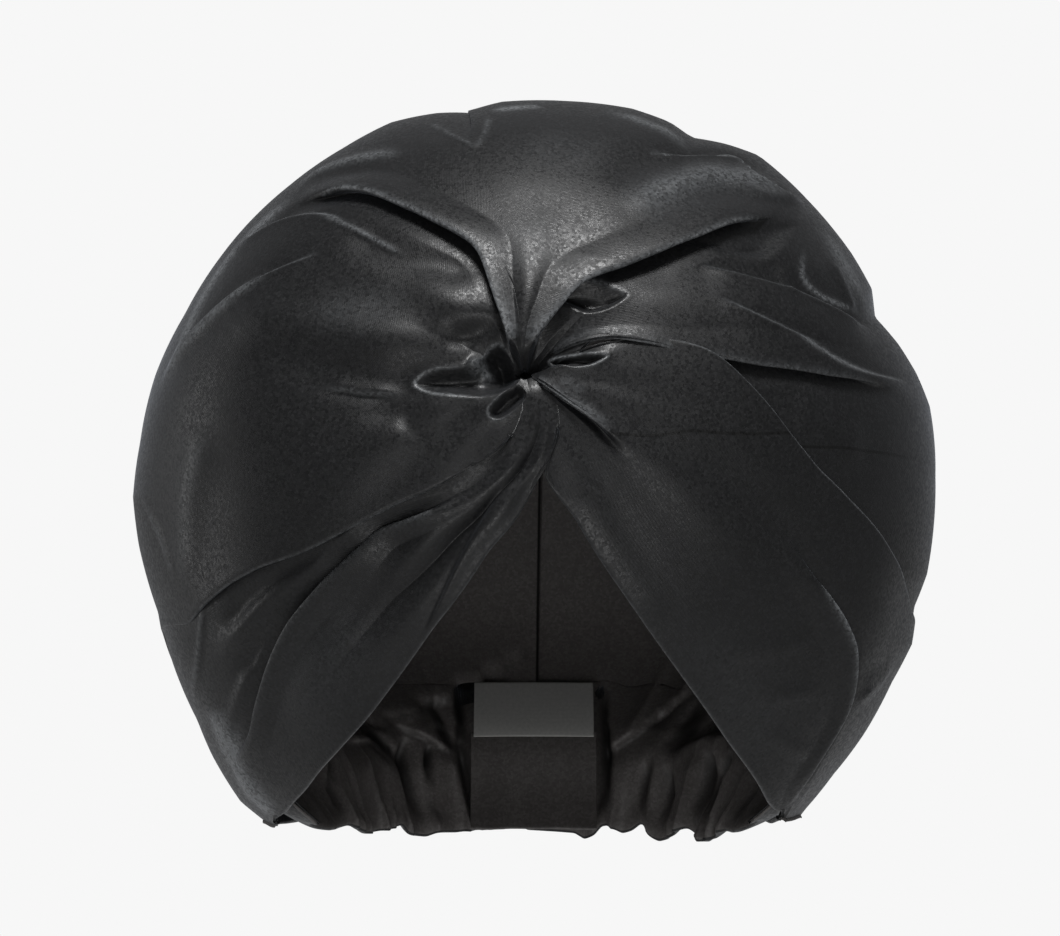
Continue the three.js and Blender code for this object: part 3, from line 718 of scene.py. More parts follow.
def makeSatin(name, look):
    material, tree, shader = newMaterial(name)
    weave = addNode(tree, "ShaderNodeUVMap", uv_map="weave").outputs["UV"]
    place = addNode(tree, "ShaderNodeTexCoord").outputs["Object"]
    # flecks of the yarn that catch the light, broad uneven tone, and one cell for each float of the weave
    fleck = addNode(tree, "ShaderNodeTexNoise", {"Vector": place, "Scale": 1 / (look["fleck"] * mm), "Detail": 3,
                                                 "Roughness": 0.65}).outputs["Fac"]
    tone = addNode(tree, "ShaderNodeTexNoise", {"Vector": place, "Scale": look["toneScale"],
                                                "Detail": 4}).outputs["Fac"]
    cells = addNode(tree, "ShaderNodeTexVoronoi", {"Vector": place, "Scale": 1 / (look["cell"] * mm)})
    floats = addNode(tree, "ShaderNodeSeparateColor", {"Color": cells.outputs["Color"]}).outputs
    blend = addNode(tree, "ShaderNodeMath", {0: tone, 1: look["toneShare"]}, operation="MULTIPLY")
    for source, share in ((fleck, look["fleckShare"]), (floats["Red"], look["cellShare"])):
        blend = addNode(tree, "ShaderNodeMath", {0: source, 1: share, 2: blend.outputs[0]}, operation="MULTIPLY_ADD")
    colours = addNode(tree, "ShaderNodeValToRGB", {"Fac": blend.outputs[0]})
    stops = colours.color_ramp.elements
    stops[0].position, stops[1].position = look["stops"][:2]
    stops[0].color, stops[1].color = (*look["dark"], 1), (*look["light"], 1)
    stops.new(look["stops"][2]).color = (*look["spark"], 1)
    # seams show as thin dark lines; the glint mark paints highlights on folded edges, rims and sheen patches, and the
    # shade mark paints shade into creases
    fromSeam = addNode(tree, "ShaderNodeMath", {0: markOf(tree, "seam")}, operation="ABSOLUTE")
    seamLow, seamHigh = look["seamReach"]
    pastSeam = addNode(tree, "ShaderNodeMapRange", {"Value": fromSeam.outputs[0], "From Min": seamLow,
                                                    "From Max": seamHigh})
    sparkLow, sparkHigh = look["glintSpread"]
    sparks = addNode(tree, "ShaderNodeMapRange", {"Value": floats["Blue"], "To Min": sparkLow, "To Max": sparkHigh})
    paintedGlint = addNode(tree, "ShaderNodeMath", {0: markOf(tree, "glint"), 1: sparks.outputs["Result"]},
                     operation="MULTIPLY", use_clamp=True)
    colour = mixColours(tree, pastSeam.outputs["Result"], look["seam"], colours.outputs["Color"])
    colour = mixColours(tree, paintedGlint.outputs[0], colour, look["glint"])
    colour = mixColours(tree, markOf(tree, "shade"), colour, look["crease"])
    # each float of the yarn has its own lustre
    rough = addNode(tree, "ShaderNodeMapRange", {"Value": floats["Green"], "To Min": look["rough"] + look["glitter"],
                                                 "To Max": look["rough"] - look["glitter"]})
    # floats of the satin weave, long along the cloth, and a soft crumple
    threads = addNode(tree, "ShaderNodeTexWave",
                      {"Vector": weave, "Scale": 0.5 / (look["weaveSize"] * mm) / math.pi, "Distortion": 1.2,
                       "Detail": 1},
                      wave_type="BANDS", bands_direction="X")
    threadBump = addNode(tree, "ShaderNodeBump", {"Height": threads.outputs["Fac"], "Strength": look["weaveBump"],
                                                  "Distance": look["weaveDeep"] * mm})
    fleckBump = addNode(tree, "ShaderNodeBump", {"Height": fleck, "Strength": look["bump"],
                                                 "Distance": look["bumpDeep"] * mm,
                                                 "Normal": threadBump.outputs["Normal"]})
    tangent = addNode(tree, "ShaderNodeTangent", direction_type="UV_MAP", uv_map="weave")
    fillSockets(tree, shader, {
        "Base Color": colour, "Roughness": rough.outputs["Result"], "Normal": fleckBump.outputs["Normal"],
        "Tangent": tangent.outputs["Tangent"], "Anisotropic": look["anisotropy"], "Sheen Weight": look["sheen"],
        "Sheen Roughness": look["sheenRough"], "Sheen Tint": look["sheenTint"], "Specular IOR Level": 0.5,
    })
    return material


satinOut = makeSatin("blackSatin", satinLook)
# the back of the satin: matte and without sheen, as the back is, with its colour painted many times lighter than the
# face, which is painted light for the shaded hollow inside
satinInPaintedLighter = makeSatin("blackSatinInsidePaintedLighter", {
    **satinLook, "dark": (0.082, 0.075, 0.073), "light": (0.102, 0.095, 0.092), "spark": (0.122, 0.114, 0.111),
    "rough": 0.55, "glitter": 0.05, "bump": 0.12, "sheen": 0.0,
})
print("finishes ready")


# the four cloth panels

# folds of the crown, shared by its two halves so that they meet at the seam
crownFolds = [
    {"line": "leftPleat", "kind": "lap", "over": -1, "width": 24, "low": 15, "lap": 6, "rise": 3.4, "from": 5,
     "to": 136, "fade": 30,
     "swell": 12, "fullAt": 60, "glint": 0.6, "drop": 0.6},
    {"line": "leftRoll", "kind": "ridge", "width": 17, "rise": 1.6, "from": 20, "to": 150, "fade": 80},
    {"line": "wedgeMiddle", "kind": "ridge", "width": 12, "rise": 4.5, "from": 3, "to": 70, "fade": 50, "swell": 6,
     "fullAt": 60},
    {"line": "rightPleat", "kind": "lap", "over": 1, "width": 27, "low": 18, "lap": 7, "rise": 3.3, "from": 4,
     "to": 142, "fade": 46,
     "swell": 12, "fullAt": 48, "glint": 0.55, "drop": 0.45},
    {"line": "petalEdge", "kind": "lap", "over": 1, "width": 22, "low": 16, "lap": 6, "rise": 1.2, "from": 6,
     "to": 170, "swell": 14, "glint": 0.25},
    {"line": "petalRidge", "kind": "ridge", "width": 11, "rise": 0.9, "from": 25, "to": 170},
    {"line": "rightDent", "kind": "ridge", "width": 8, "rise": -1.6, "from": 40, "to": 170},
    {"line": "topDent", "kind": "ridge", "width": 9, "rise": -1.6, "from": 80, "to": 180},
]
panelPlans = {
    "crown_left": {
        "edges": [
            {"line": "topSeam", "columns": 48, "tuck": -3, "stand": -0.8},
            {"line": "leftPleat", "columns": 58},
            {"line": "leftRidge", "columns": 58},
            {"line": "leftRoll", "columns": 30, "stand": 1.5},
            {"line": "leftEdge", "columns": 0, "stand": 3.0, "roll": 1.2, "glint": 0.25},
        ],
        "folds": crownFolds + [{"line": "topSeam", "kind": "step", "width": 10, "rise": -2.2, "from": 105, "to": 560,
                                "swell": 20}],
        "rows": 220, "flat": (0.36, 0.50), "held": "gathered", "seed": 3,
    },
    "crown_right": {
        "edges": [
            {"line": "rightEdge", "columns": 30, "tuck": -9, "stand": -1},
            {"line": "petalEdge", "columns": 40},
            {"line": "petalRidge", "columns": 30},
            {"line": "rightDent", "columns": 34},
            {"line": "rightPleat", "columns": 50},
            {"line": "topDent", "columns": 36},
            {"line": "topSeam", "columns": 0, "tuck": 3, "stand": -0.8},
        ],
        "folds": crownFolds,
        "rows": 220, "flat": (0.40, 0.50), "held": "gathered", "seed": 3,
    },
    "wrap_left": {
        "edges": [
            {"line": "leftEdge", "columns": 30, "tuck": -8, "stand": -0.6},
            {"line": "drapeValley", "columns": 40, "stand": -1},
            {"line": "drapeFold", "columns": 40, "stand": -1},
            {"line": "drapeLast", "columns": 36, "stand": -0.5},
            {"line": "leftHem", "columns": 0, "roll": 1.1, "glint": 0.2},
        ],
        "folds": [
            {"line": "flapEdge", "kind": "lap", "over": 1, "width": 16, "low": 12, "lap": 3.6, "rise": 2.2,
             "from": 40, "to": 215, "glint": 0.2},
            {"line": "drapeFold", "kind": "ridge", "width": 6, "rise": 2.4, "from": 8, "to": 120},
            {"line": "drapeCrease", "kind": "crease", "width": 4, "rise": -2.6, "from": 8, "to": 150, "fade": 90},
            {"line": "drapeLast", "kind": "ridge", "width": 5, "rise": 2.0, "from": 8, "to": 150, "fade": 90},
        ],
        "rows": 200, "flat": (0.16, 0.33), "held": "draped", "seed": 7, "hem": 1.1,
    },
    "wrap_right": {
        "edges": [
            {"line": "rightHem", "columns": 70, "roll": 1.1, "glint": 0.2},
            {"line": "flapFold", "columns": 50, "stand": 2.2},
            {"line": "rightEdge", "columns": 0, "stand": 2.8, "roll": 1.1, "glint": 0.6},
        ],
        "folds": [
            {"line": "flapFold", "kind": "lap", "over": -1, "width": 20, "low": 11, "lap": 5.0, "rise": 2.6,
             "drop": 0.5, "from": 105, "to": 210, "fade": 34, "swell": 45, "glint": 0.9},
            {"line": "wrapSlant", "kind": "lap", "over": 1, "width": 16, "low": 14, "lap": 5.0, "rise": 4.5,
             "from": 2, "to": 48, "fade": 26, "swell": 6, "glint": 0.3},
        ],
        "rows": 200, "flat": (0.18, 0.33), "held": "draped", "seed": 9, "hem": 1.1,
    },
}
# seams that show as thin lines: where they start and end along their line, and degrees beside it
seamLines = {
    "crown_left": [("topSeam", 345, 520, -2.7)],
    "crown_right": [("wrapSeam", 0, 520, -2.6)],
    "wrap_left": [],
    "wrap_right": [("wrapSeam", 0, 520, 0.0)],
}
rollColumns = 12   # points round a turned edge
rollGlint = (0.4, 1, 1, 0.4)   # how strong a painted highlight lies on the first of them
hemBack = 3.5   # cloth that runs back below a turned edge
clothWall = 1.1
pulls = {"across": 0.30, "along": 0.04, "size": 7.0, "rise": 0.35}
slacks = {"across": 1.6, "size": 95.0, "rise": 1.0}
rowSpread = {"even": 0.22, "power": 2.4}
tuckClear = {"from": 30.0, "to": 75.0}


def columnPlan(edges):
    spots = []
    if "roll" in edges[0]:
        spots += [(0, 0.0, -(rollColumns - step)) for step in range(rollColumns)]
    for index in range(len(edges) - 1):
        count = edges[index]["columns"]
        spots += [(index, step / count, 0) for step in range(count)]
    spots.append((len(edges) - 2, 1.0, 0))
    if "roll" in edges[-1]:
        spots += [(len(edges) - 2, 1.0, step + 1) for step in range(rollColumns)]
    return spots


def turnedEdge(step, radius):
    # places round a rolled edge: out and under by a half circle, then back below the cloth
    bend = math.pi * radius
    run = abs(step) / rollColumns * (bend + hemBack)
    if run < bend:
        return radius * math.sin(run / radius), -radius * (1 - math.cos(run / radius))
    return -(run - bend), -2 * radius - 0.35 * (run - bend)


def layPanel(name):
    plan = panelPlans[name]
    edges = plan["edges"]
    spots = columnPlan(edges)
    first = np.array([spot[0] for spot in spots])
    share = np.array([spot[1] for spot in spots])
    steps = np.linspace(0, 1, plan["rows"] + 1)
    steps = rowSpread["even"] * steps + (1 - rowSpread["even"]) * steps ** rowSpread["power"]

    def turnsAt(distance):
        clear = easeBetween(distance, tuckClear["from"], tuckClear["to"])
        stack = np.stack([trackTurn(edge["line"], distance) + edge.get("tuck", 0) * clear for edge in edges])
        column = np.broadcast_to(np.arange(len(spots)), distance.shape)
        row = np.arange(distance.shape[0])[:, None]
        return stack[first, row, column] * (1 - share) + stack[first + 1, row, column] * share

    lastTurn = turnsAt(np.full((1, len(spots)), lastStation))[0]
    lengths = np.interp(lastTurn, fanTurns, fanLengths)
    distance = twist["ring"] + (lengths - twist["ring"]) * steps[:, None]
    turn = turnsAt(distance)
    perDegree = stepPerDegree(turn, distance)
    aside, height, glint = foldShifts(plan["folds"], turn, distance, perDegree)
    stands = np.array([edge.get("stand", 0) for edge in edges])
    stand = stands[first] * (1 - share) + stands[first + 1] * share
    height = height + stand * easeBetween(distance, 30, 80) * (1 - 0.45 * easeBetween(distance, 150, 195))
    # pulls that fan out from the twist, and the slack between them
    rays = ripple(turn * pulls["across"], distance * pulls["along"], pulls["size"], plan["seed"])
    height = height + pulls["rise"] * rays * easeBetween(distance, 12, 30) * (1 - easeBetween(distance, 45, 150))
    slack = ripple(turn * slacks["across"], distance, slacks["size"], plan["seed"] + 1)
    turned = turn + aside / perDegree
    base = onFan(turned, distance)
    flat = onFan(turn, distance)
    held = easeBetween(flat[..., 1], 0, 40) * (1 - easeBetween(flat[..., 2], 45, 75))
    height = height + slacks["rise"] * slack * easeBetween(distance, 60, 130) * (1 - held)
    height = height - diveAt(turn, distance)
    pressed, pressedGlint = pressedHeight(pressedLines[name], flat)
    hollow, hollowGlint = pocketHeight(flat)
    height = height + pressed + hollow
    glint = np.maximum(np.maximum(glint, pressedGlint), hollowGlint)
    normal = bagNormal(base)
    points = base + along(levelOut(base), napePull(base) + napePillows(base))
    points = points + along(normal, height) + outlineShift(base, normal)
    atBack = easeBetween(base[..., 1], 40, 80) * (1 - easeBetween(base[..., 2], 60, 85))
    # painted shade in the creases at the nape
    shade = np.zeros(turn.shape)
    if atBack.max() > 0:
        relief, shade = napeRelief(base + along(levelOut(base), napePull(base)))
        points = points - along(levelOut(base), relief * atBack)
        shade = shade * atBack
    # turned edges, with a painted highlight on their first points
    sideways = unit(onFan(turned + 0.5, distance) - onFan(turned - 0.5, distance))
    for column, spot in enumerate(spots):
        if spot[2]:
            edge = edges[0 if spot[2] < 0 else -1]
            out, under = turnedEdge(spot[2], edge["roll"])
            out *= -1 if spot[2] < 0 else 1
            atFoot = easeBetween(lengths[column] - distance[:, column], 2, 18)
            tight = easeBetween(distance[:, column], 22, 60) * (0.05 + 0.95 * atFoot)
            if abs(spot[2]) <= len(rollGlint):
                lit = edge.get("glint", 0.0) * tight * rollGlint[abs(spot[2]) - 1]
                glint[:, column] = np.maximum(glint[:, column], lit)
            points[:, column] += along(sideways[:, column], out * tight) + along(normal[:, column], under * tight)
    if "hem" in plan:
        down = unit(points[-1] - points[-2])
        corner = [column for column, spot in enumerate(spots) if spot[2] == 0][-1 if name == "wrap_left" else 0]
        inFrom = np.linalg.norm(points[-1] - points[-1, corner], axis=-1) * np.array([spot[2] == 0 for spot in spots])
        full = (0.06 + 0.94 * easeBetween(inFrom, 26, 50))[:, None]
        extra = []
        for step in range(1, rollColumns + 1):
            out, under = turnedEdge(step, plan["hem"])
            extra.append(points[-1] + (down * out + normal[-1] * under) * full)
        points = np.concatenate([points, np.array(extra)])
        turn, distance, perDegree, glint, shade = (np.concatenate([table, np.repeat(table[-1:], rollColumns, axis=0)])
                                                   for table in (turn, distance, perDegree, glint, shade))
    acrossSteps = np.linalg.norm(np.diff(points, axis=1), axis=-1)
    weaveAcross = np.concatenate([np.zeros((points.shape[0], 1)), np.cumsum(acrossSteps, axis=1)], axis=1)
    seam = np.full(turn.shape, noSeam)
    for line, start, stop, beside in seamLines[name]:
        slant = (trackTurn(line, distance + 2) - trackTurn(line, distance - 2)) / 4 * perDegree
        away = (turn - trackTurn(line, distance) - beside) * perDegree / np.sqrt(1 + slant ** 2)
        seam = np.where((distance >= start) & (distance < stop), np.clip(away, -noSeam, noSeam), seam)
    turnedUnder = np.array([spot[2] != 0 for spot in spots])[None, :] | (distance < 70)
    piece = sheetFromGrid(name + "_cloth", points, (weaveAcross, distance),
                          {"seam": seam, "glint": glint, "shade": shade},
                          clothWall, (satinOut, satinInPaintedLighter, satinOut, satinOut), bagNormal, np.where(turnedUnder, 2, 0))
    settle(piece, name)
    print("laid", name, points.shape)
    return piece


panels = {name: layPanel(name) for name in panelPlans}


# elastic casing: a flat gathered tube round the nape

bandPlan = {
    "columns": 560, "rows": 56, "end": 65.0, "level": 3.0, "wall": 0.6, "girth": 80, "flat": (0.50, 0.070),
    "crumple": {"across": 1.7, "size": 16.0, "rise": 0.7, "seed": 21},
    # round the tube from its tucked lip down the outside and up the inside: height as a share, inward place in mm
    "section": [(1.50, 0.7), (1.25, 0.85), (1.03, 0.9), (0.85, 0.5), (0.60, 0.0), (0.35, 0.0), (0.15, 0.6),
                (0.03, 2.4), (-0.03, 4.6), (0.02, 6.8), (0.14, 8.4), (0.34, 9.2), (0.58, 9.0), (0.80, 7.6),
                (1.0, 5.6), (1.16, 3.8), (1.32, 2.3), (1.46, 1.3), (1.56, 0.8)],
    # the lower edge as it is seen from the front
    "foot": [(-100, 9), (-87, 5), (-79, 3.4), (-74, 2.6), (-68, 3.4), (-62, 5), (-58, 2.2), (-52, 2.6), (-44.5, 5.2),
             (-42.5, 1.8), (-36, 1.2), (-33, 2.8), (-26, 2.6), (-18, 3.6), (-9.6, 3.8), (-5.3, 6), (-2.6, 3.6),
             (8, 3.0), (14, 2.6), (17.5, 0.6), (20, 1.6), (22.4, 4.6), (25, 5), (29, 2.2), (32, 3), (35.5, 5.4),
             (37.5, 5.0), (39.8, 1.4), (42.3, -0.3), (45.6, 0.6), (48.1, 3), (50.6, 4.1), (52.3, 2.4), (54.8, -0.2),
             (58.1, -0.5), (60.6, 1.3), (63.9, 3.1), (67.2, 2.5), (72.2, 3.2), (77.2, 3.9), (88, 6.5), (100, 9)],
}


def wallAt(around, height):
    scale = np.sqrt(1 - ((bag["waist"] - height) / bag["below"]) ** 2)
    halfDepth = np.where(np.cos(around) > 0, bag["front"], bag["back"])
    reach = scale / np.hypot(np.sin(around) / bag["halfWidth"], np.cos(around) / halfDepth)
    return np.stack([np.sin(around) * reach, -np.cos(around) * reach, np.broadcast_to(height, reach.shape)], axis=-1)


def footAt(seenX):
    footX, footZ = np.array(bandPlan["foot"]).T
    fine = np.arange(-104.0, 104.1, 0.25)
    blunt = np.hanning(13)
    soft = np.convolve(np.pad(np.interp(fine, footX, footZ), 6, mode="edge"), blunt / blunt.sum(), mode="valid")
    return np.interp(seenX, fine, soft)


def lipToCloth(points, share, inward):
    # the top of the band follows the real inner face of the panels
    graph = bpy.context.evaluated_depsgraph_get()
    faces = [BVHTree.FromObject(panel, graph) for panel in panels.values()]
    for row in np.flatnonzero(share[:, 0] > 1.0):
        pull = float(easeBetween(share[row, 0], 1.0, 1.1))
        for column in range(points.shape[1]):
            out = Vector(levelOut(points[row, column]))
            start = Vector(points[row, column]) - out * 25
            runs = [hit[3] for hit in (face.ray_cast(start * mm, out,
                                                     50 * mm) for face in faces) if hit[0] is not None]
            if runs:
                place = start + out * (min(runs) / mm - (inward[row, column] - clothWall))
                points[row, column] = points[row, column] * (1 - pull) + np.array(place) * pull


def makeBand():
    around = np.radians(np.linspace(bandPlan["end"], 360 - bandPlan["end"], bandPlan["columns"] + 1))[None, :]
    section = roundCurve(bandPlan["section"], bandPlan["rows"] + 1, closed=True)
    section[-1] = section[0]
    aside = np.abs(math.pi - around)
    closing = easeBetween(np.degrees(aside), 180 - bandPlan["end"] - 9, 180 - bandPlan["end"])
    share, inward = section[:, :1], section[:, 1:] * (1 - closing) + 2.4 * closing
    tucked = easeBetween(aside, math.radians(180 - casing["tuckFrom"]), math.radians(180 - casing["tuckTo"]))
    atEnd = easeBetween(np.degrees(aside), 84, 106)
    tucked = tucked * (1 - 0.85 * atEnd)
    lowest = wallAt(around, rimHeight(around))[0]
    # the foot is set by where each spot of it is seen, so its place is found in a few rounds
    for _ in range(4):
        further = (lowest[..., 1] - eye["y"]) / -eye["y"]
        foot = eye["z"] - (eye["z"] - footAt(asSeen(lowest)[..., 0])) * further + 2.5 * atEnd
        height = foot + (casing["top"] - foot) * share
        wall = wallAt(around, bandPlan["level"] + (casing["top"] - bandPlan["level"]) * share)
        wall[..., 2] = height
        stand = wall - along(levelOut(wall), inward + casing["tuck"] * tucked - napePull(wall))
        lowest = stand[share.argmin()]
    place = np.linspace(0, 1, section.shape[0])[:, None]
    innerFace = easeBetween(place, 0.48, 0.62)
    onFace = innerFace * (1 - easeBetween(place, 0.85, 1.0))
    relief, shade = napeRelief(stand)
    creased = np.maximum(innerFace * (0.15 + 0.85 * easeBetween(share, 0.08, 0.42)), easeBetween(share, 0.4, 1.0))
    depth = relief * creased - napePillows(wall) * (1 - 0.8 * onFace)
    crumple = bandPlan["crumple"]
    waves = ripple(np.degrees(around) * crumple["across"], height, crumple["size"], crumple["seed"])
    depth = depth + crumple["rise"] * waves * onFace
    points = stand - along(levelOut(wall), depth)
    lipToCloth(points, share, inward)
    length = np.linalg.norm(np.diff(points, axis=1), axis=-1)
    weaveAlong = np.concatenate([np.zeros((points.shape[0], 1)), np.cumsum(length, axis=1)], axis=1)
    weaveUp = np.broadcast_to(np.linspace(0, bandPlan["girth"], points.shape[0])[:, None], weaveAlong.shape)
    blank = np.zeros(weaveAlong.shape)
    outside = np.where(place < 0.4, 2, 0) + np.zeros(blank.shape, int)
    # painted shade in the creases of the inner face
    marks = {"seam": blank + noSeam, "glint": blank, "shade": shade * innerFace}
    piece = sheetFromGrid("nape_band_cloth", points, (weaveAlong, weaveUp), marks, bandPlan["wall"],
                          (satinInPaintedLighter, satinInPaintedLighter, satinOut, satinOut), None, outside)
    closeTube(piece)
    settle(piece, "nape_band")
    return piece


def closeTube(piece):
    shape = bmesh.new()
    shape.from_mesh(piece.data)
    bmesh.ops.remove_doubles(shape, verts=shape.verts, dist=0.00001)
    bmesh.ops.recalc_face_normals(shape, faces=shape.faces)
    shape.to_mesh(piece.data)
    shape.free()


# flat tab and bare label at the middle of the nape

tabPlan = {"columns": 40, "rows": 36, "width": 45.0, "foot": -2.2, "top": 31.0, "depth": 11.4, "wall": 1.3,
           "shade": 0.2, "flat": (0.045, 0.045)}
labelPlan = {"columns": 44, "rows": 20, "width": 43.0, "foot": 29.5, "top": 47.5, "depth": 13.4, "wall": 0.4,
             "lift": 0.8, "shade": 0.0, "flat": (0.043, 0.020)}


def napePlate(name, plan, bend, finish):
    across = np.linspace(-0.5, 0.5, plan["columns"] + 1)[None, :]
    share = np.linspace(0, 1, plan["rows"] + 1)[:, None]
    height = plan["top"] + (plan["foot"] - plan["top"]) * share + 0 * across
    pull = rim["pinch"] * np.exp(-((height - rim["pinchHeight"]) / rim["pinchSpread"]) ** 2)
    depth = plan["depth"] + pull + bend(across, share)
    radius = wallAt(np.full(height.shape, math.pi), height)[..., 1] - depth
    around = math.pi - across * plan["width"] / radius
    wall = wallAt(around, height)
    points = wall - along(levelOut(wall), depth)
    weave = across * plan["width"] + 0 * share, height
    marks = {"seam": np.full(height.shape, noSeam), "shade": np.full(height.shape, plan["shade"])}
    piece = sheetFromGrid(name + "_cloth", points, weave, marks, plan["wall"], (finish,),
                          lambda spot: -levelOut(spot))
    soft = piece.modifiers.new("softEdge", "BEVEL")
    soft.width, soft.segments, soft.limit_method = 0.25 * mm, 2, "ANGLE"
    return piece


def tabBend(across, share):
    creases = 0.7 * np.exp(-((across - 0.30) / 0.05) ** 2) + 0.6 * np.exp(-((across + 0.33) / 0.05) ** 2)
    return creases * (0.3 + share) + 0.8 * np.sin(across * 17 + 1) * share ** 2 - 2.5 * (share ** 6)


def labelBend(across, share):
    return labelPlan["lift"] * share ** 2 - 6.5 * (1 - share) ** 1.5 + 0.25 * np.sin(across * 7 + 0.6)


ribbonLook = {"dark": (0.33, 0.33, 0.32, 1), "light": (0.50, 0.50, 0.48, 1), "ribs": 700, "specks": 900, "bump": 0.3,
              "bumpDeep": 0.1, "rough": 0.5, "sheen": 0.2}


def makeRibbon(look):
    material, tree, shader = newMaterial("labelRibbon")
    weave = addNode(tree, "ShaderNodeUVMap", uv_map="weave").outputs["UV"]
    rib = addNode(tree, "ShaderNodeTexWave", {"Vector": weave, "Scale": look["ribs"], "Distortion": 0.6},
                  wave_type="BANDS", bands_direction="Y")
    speck = addNode(tree, "ShaderNodeTexNoise", {"Vector": weave, "Scale": look["specks"], "Detail": 4})
    tones = addNode(tree, "ShaderNodeValToRGB", {"Fac": speck.outputs["Fac"]})
    for stop, key in zip(tones.color_ramp.elements, ("dark", "light")):
        stop.color = look[key]
    bump = addNode(tree, "ShaderNodeBump", {"Height": rib.outputs["Fac"], "Strength": look["bump"],
                                            "Distance": look["bumpDeep"] * mm})
    fillSockets(tree, shader, {"Base Color": tones.outputs["Color"], "Normal": bump.outputs["Normal"],
                               "Roughness": look["rough"], "Sheen Weight": look["sheen"]})
    return material


ribbon = makeRibbon(ribbonLook)
band = makeBand()
tab = napePlate("nape_tab", tabPlan, tabBend, satinInPaintedLighter)
settle(tab, "nape_tab")
label = napePlate("label", labelPlan, labelBend, ribbon)
settle(label, "label")
print("nape band, tab and label ready")


# the twist: the knotted core behind its eye

twistPlan = {"depth": 20.0, "size": (10.0, 7.0, 13.0), "chin": 15.0, "segments": (96, 48), "folds": 5,
             "grooves": 0.16, "wind": 0.75}


def makeTwist():
    shape = bmesh.new()
    bmesh.ops.create_uvsphere(shape, u_segments=twistPlan["segments"][0], v_segments=twistPlan["segments"][1],
                              radius=1.0)
    place = knotPoint - knotWay * twistPlan["depth"]
    for vert in shape.verts:
        turn = math.atan2(vert.co.z, vert.co.x)
        reach = math.hypot(vert.co.x, vert.co.z)
        swirl = math.sin(twistPlan["folds"] * turn + twistPlan["wind"] * 2 * math.pi * (1 - reach))
        swell = 1 + twistPlan["grooves"] * reach * swirl
        # its lower half leans forward and closes the eye from above
        lean = np.array([0.0, -twistPlan["chin"] * max(0.0, -vert.co.z), 0.0])
        vert.co = Vector(place + lean + np.array(vert.co) * swell * np.array(twistPlan["size"])) * mm
    weaveLayer = shape.loops.layers.uv.new("weave")
    markLayer = shape.verts.layers.float.new("seam")
    for vert in shape.verts:
        vert[markLayer] = noSeam
    for face in shape.faces:
        face.smooth = True
        for loop in face.loops:
            loop[weaveLayer].uv = loop.vert.co.x, loop.vert.co.z
    settle(pieceFromShape("twist_core", shape, (satinOut,)), "twist_knot")


makeTwist()
print("twist ready")


# stage, light and camera

white = (1, 1, 1, 1)
stageLook = {"floorDrop": 0.35, "floorReach": 60.0, "glow": 0.93}


def makeStage():
    shape = bmesh.new()
    bmesh.ops.create_grid(shape, x_segments=8, y_segments=8, size=stageLook["floorReach"])
    bmesh.ops.translate(shape, verts=shape.verts, vec=(0, 0, -stageLook["floorDrop"]))
    material, tree, shader = newMaterial("paleFloor")
    fillSockets(tree, shader, {"Base Color": (0, 0, 0, 1), "Specular IOR Level": 0, "Emission Color": white,
                               "Emission Strength": stageLook["glow"]})
    floor = pieceFromShape("floor", shape, (material,))
    # the floor is lit evenly and throws no light back
    floor.visible_diffuse = floor.visible_glossy = floor.visible_shadow = False


skyLook = {"shown": 0.93, "front": 0.11, "back": 0.26, "below": 0.24}


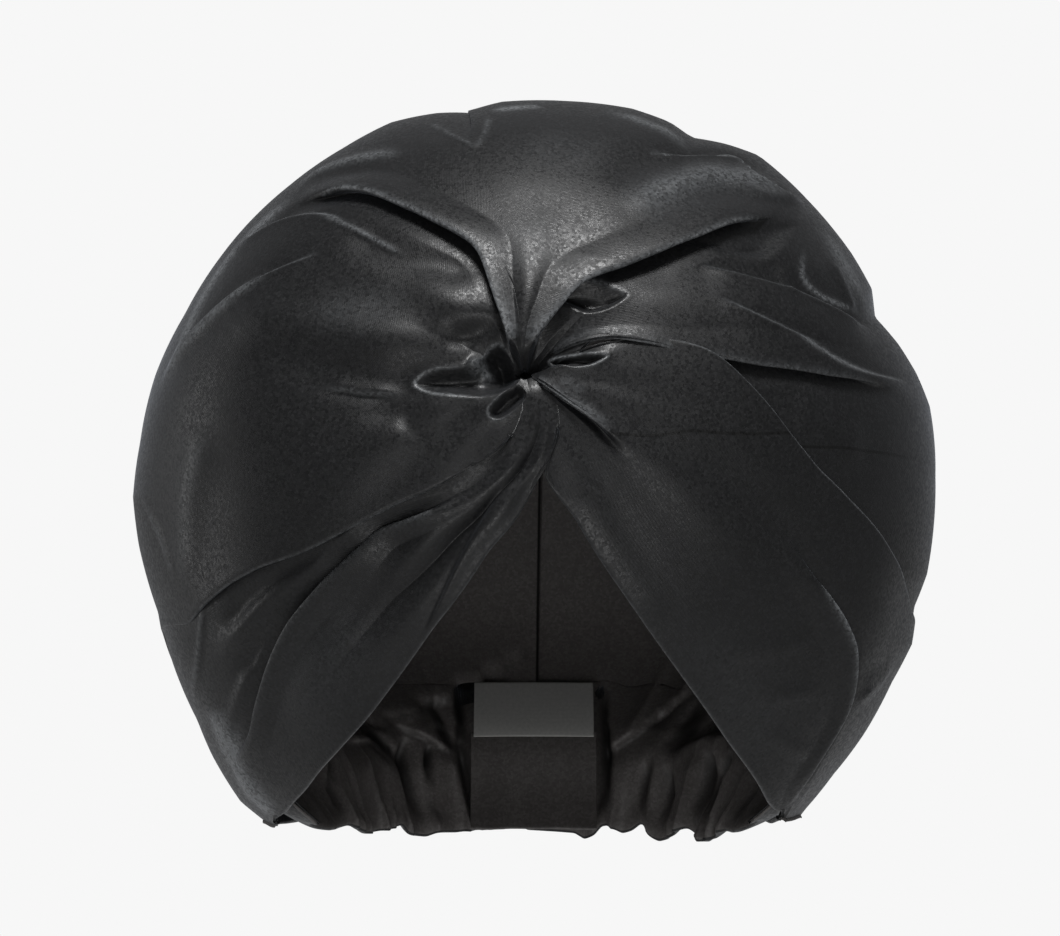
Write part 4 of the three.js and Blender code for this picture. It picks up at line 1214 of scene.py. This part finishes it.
def makeSky():
    # plain white to look at, dim before the object, brighter behind it and below it
    world = bpy.data.worlds.new("studio")
    world.use_nodes = True
    tree = world.node_tree
    soft = tree.nodes["Background"]
    heading = addNode(tree, "ShaderNodeTexCoord").outputs["Generated"]
    split = addNode(tree, "ShaderNodeSeparateXYZ", {0: heading}).outputs
    behind = addNode(tree, "ShaderNodeMapRange",
                     {"Value": split["Y"], "From Min": 0.35, "From Max": 1.0, "To Min": skyLook["front"],
                      "To Max": skyLook["back"]},
                     interpolation_type="SMOOTHSTEP")
    below = addNode(tree, "ShaderNodeMapRange",
                    {"Value": split["Z"], "From Min": 0.1, "From Max": -0.7, "To Max": skyLook["below"]},
                    interpolation_type="SMOOTHSTEP")
    both = addNode(tree, "ShaderNodeMath", {0: behind.outputs["Result"], 1: below.outputs["Result"]}, operation="ADD")
    fillSockets(tree, soft, {"Color": white, "Strength": both.outputs[0]})
    shown = addNode(tree, "ShaderNodeBackground", {"Color": white, "Strength": skyLook["shown"]})
    paths = addNode(tree, "ShaderNodeLightPath")
    mix = addNode(tree, "ShaderNodeMixShader", {0: paths.outputs["Is Camera Ray"], 1: soft.outputs[0],
                                                2: shown.outputs[0]})
    fillSockets(tree, tree.nodes["World Output"], {"Surface": mix.outputs[0]})
    bpy.context.scene.world = world


lamps = {
    "keyLamp": {"at": (0.06, -0.46, 1.20), "aim": (0, 0, 0.16), "size": (0.45, 0.30), "power": 11.5},
    "lowLamp": {"at": (0, -1.5, -0.30), "aim": (0, 0, 0.10), "size": (1.2, 0.5), "power": 4.5},
    "sideLamp": {"at": (-1.0, 0.25, 0.15), "aim": (-0.05, 0, 0.11), "size": (0.25, 0.7), "power": 0.9},
}


def makeLamps():
    for name, lamp in lamps.items():
        light = bpy.data.lights.new(name, "AREA")
        light.shape = "RECTANGLE"
        light.size, light.size_y = lamp["size"]
        light.energy = lamp["power"]
        holder = bpy.data.objects.new(name, light)
        holder.location = lamp["at"]
        holder.rotation_euler = (Vector(lamp["aim"]) - Vector(lamp["at"])).to_track_quat("-Z", "Y").to_euler()
        bpy.context.scene.collection.objects.link(holder)


cameraPlan = {"at": (-0.00135, -1.5, 0.1247), "lens": 151.0, "sensor": 36.0, "farthest": 200}


def makeCamera():
    data = bpy.data.cameras.new("photoCamera")
    data.lens, data.sensor_width = cameraPlan["lens"], cameraPlan["sensor"]
    data.clip_end = cameraPlan["farthest"]
    camera = bpy.data.objects.new("photoCamera", data)
    camera.location = cameraPlan["at"]
    camera.rotation_euler = (math.pi / 2, 0, 0)
    bpy.context.scene.collection.objects.link(camera)
    bpy.context.scene.camera = camera


makeStage()
makeSky()
makeLamps()
makeCamera()
bpy.context.scene.view_settings.view_transform = "Standard"
print("stage, light and camera ready")
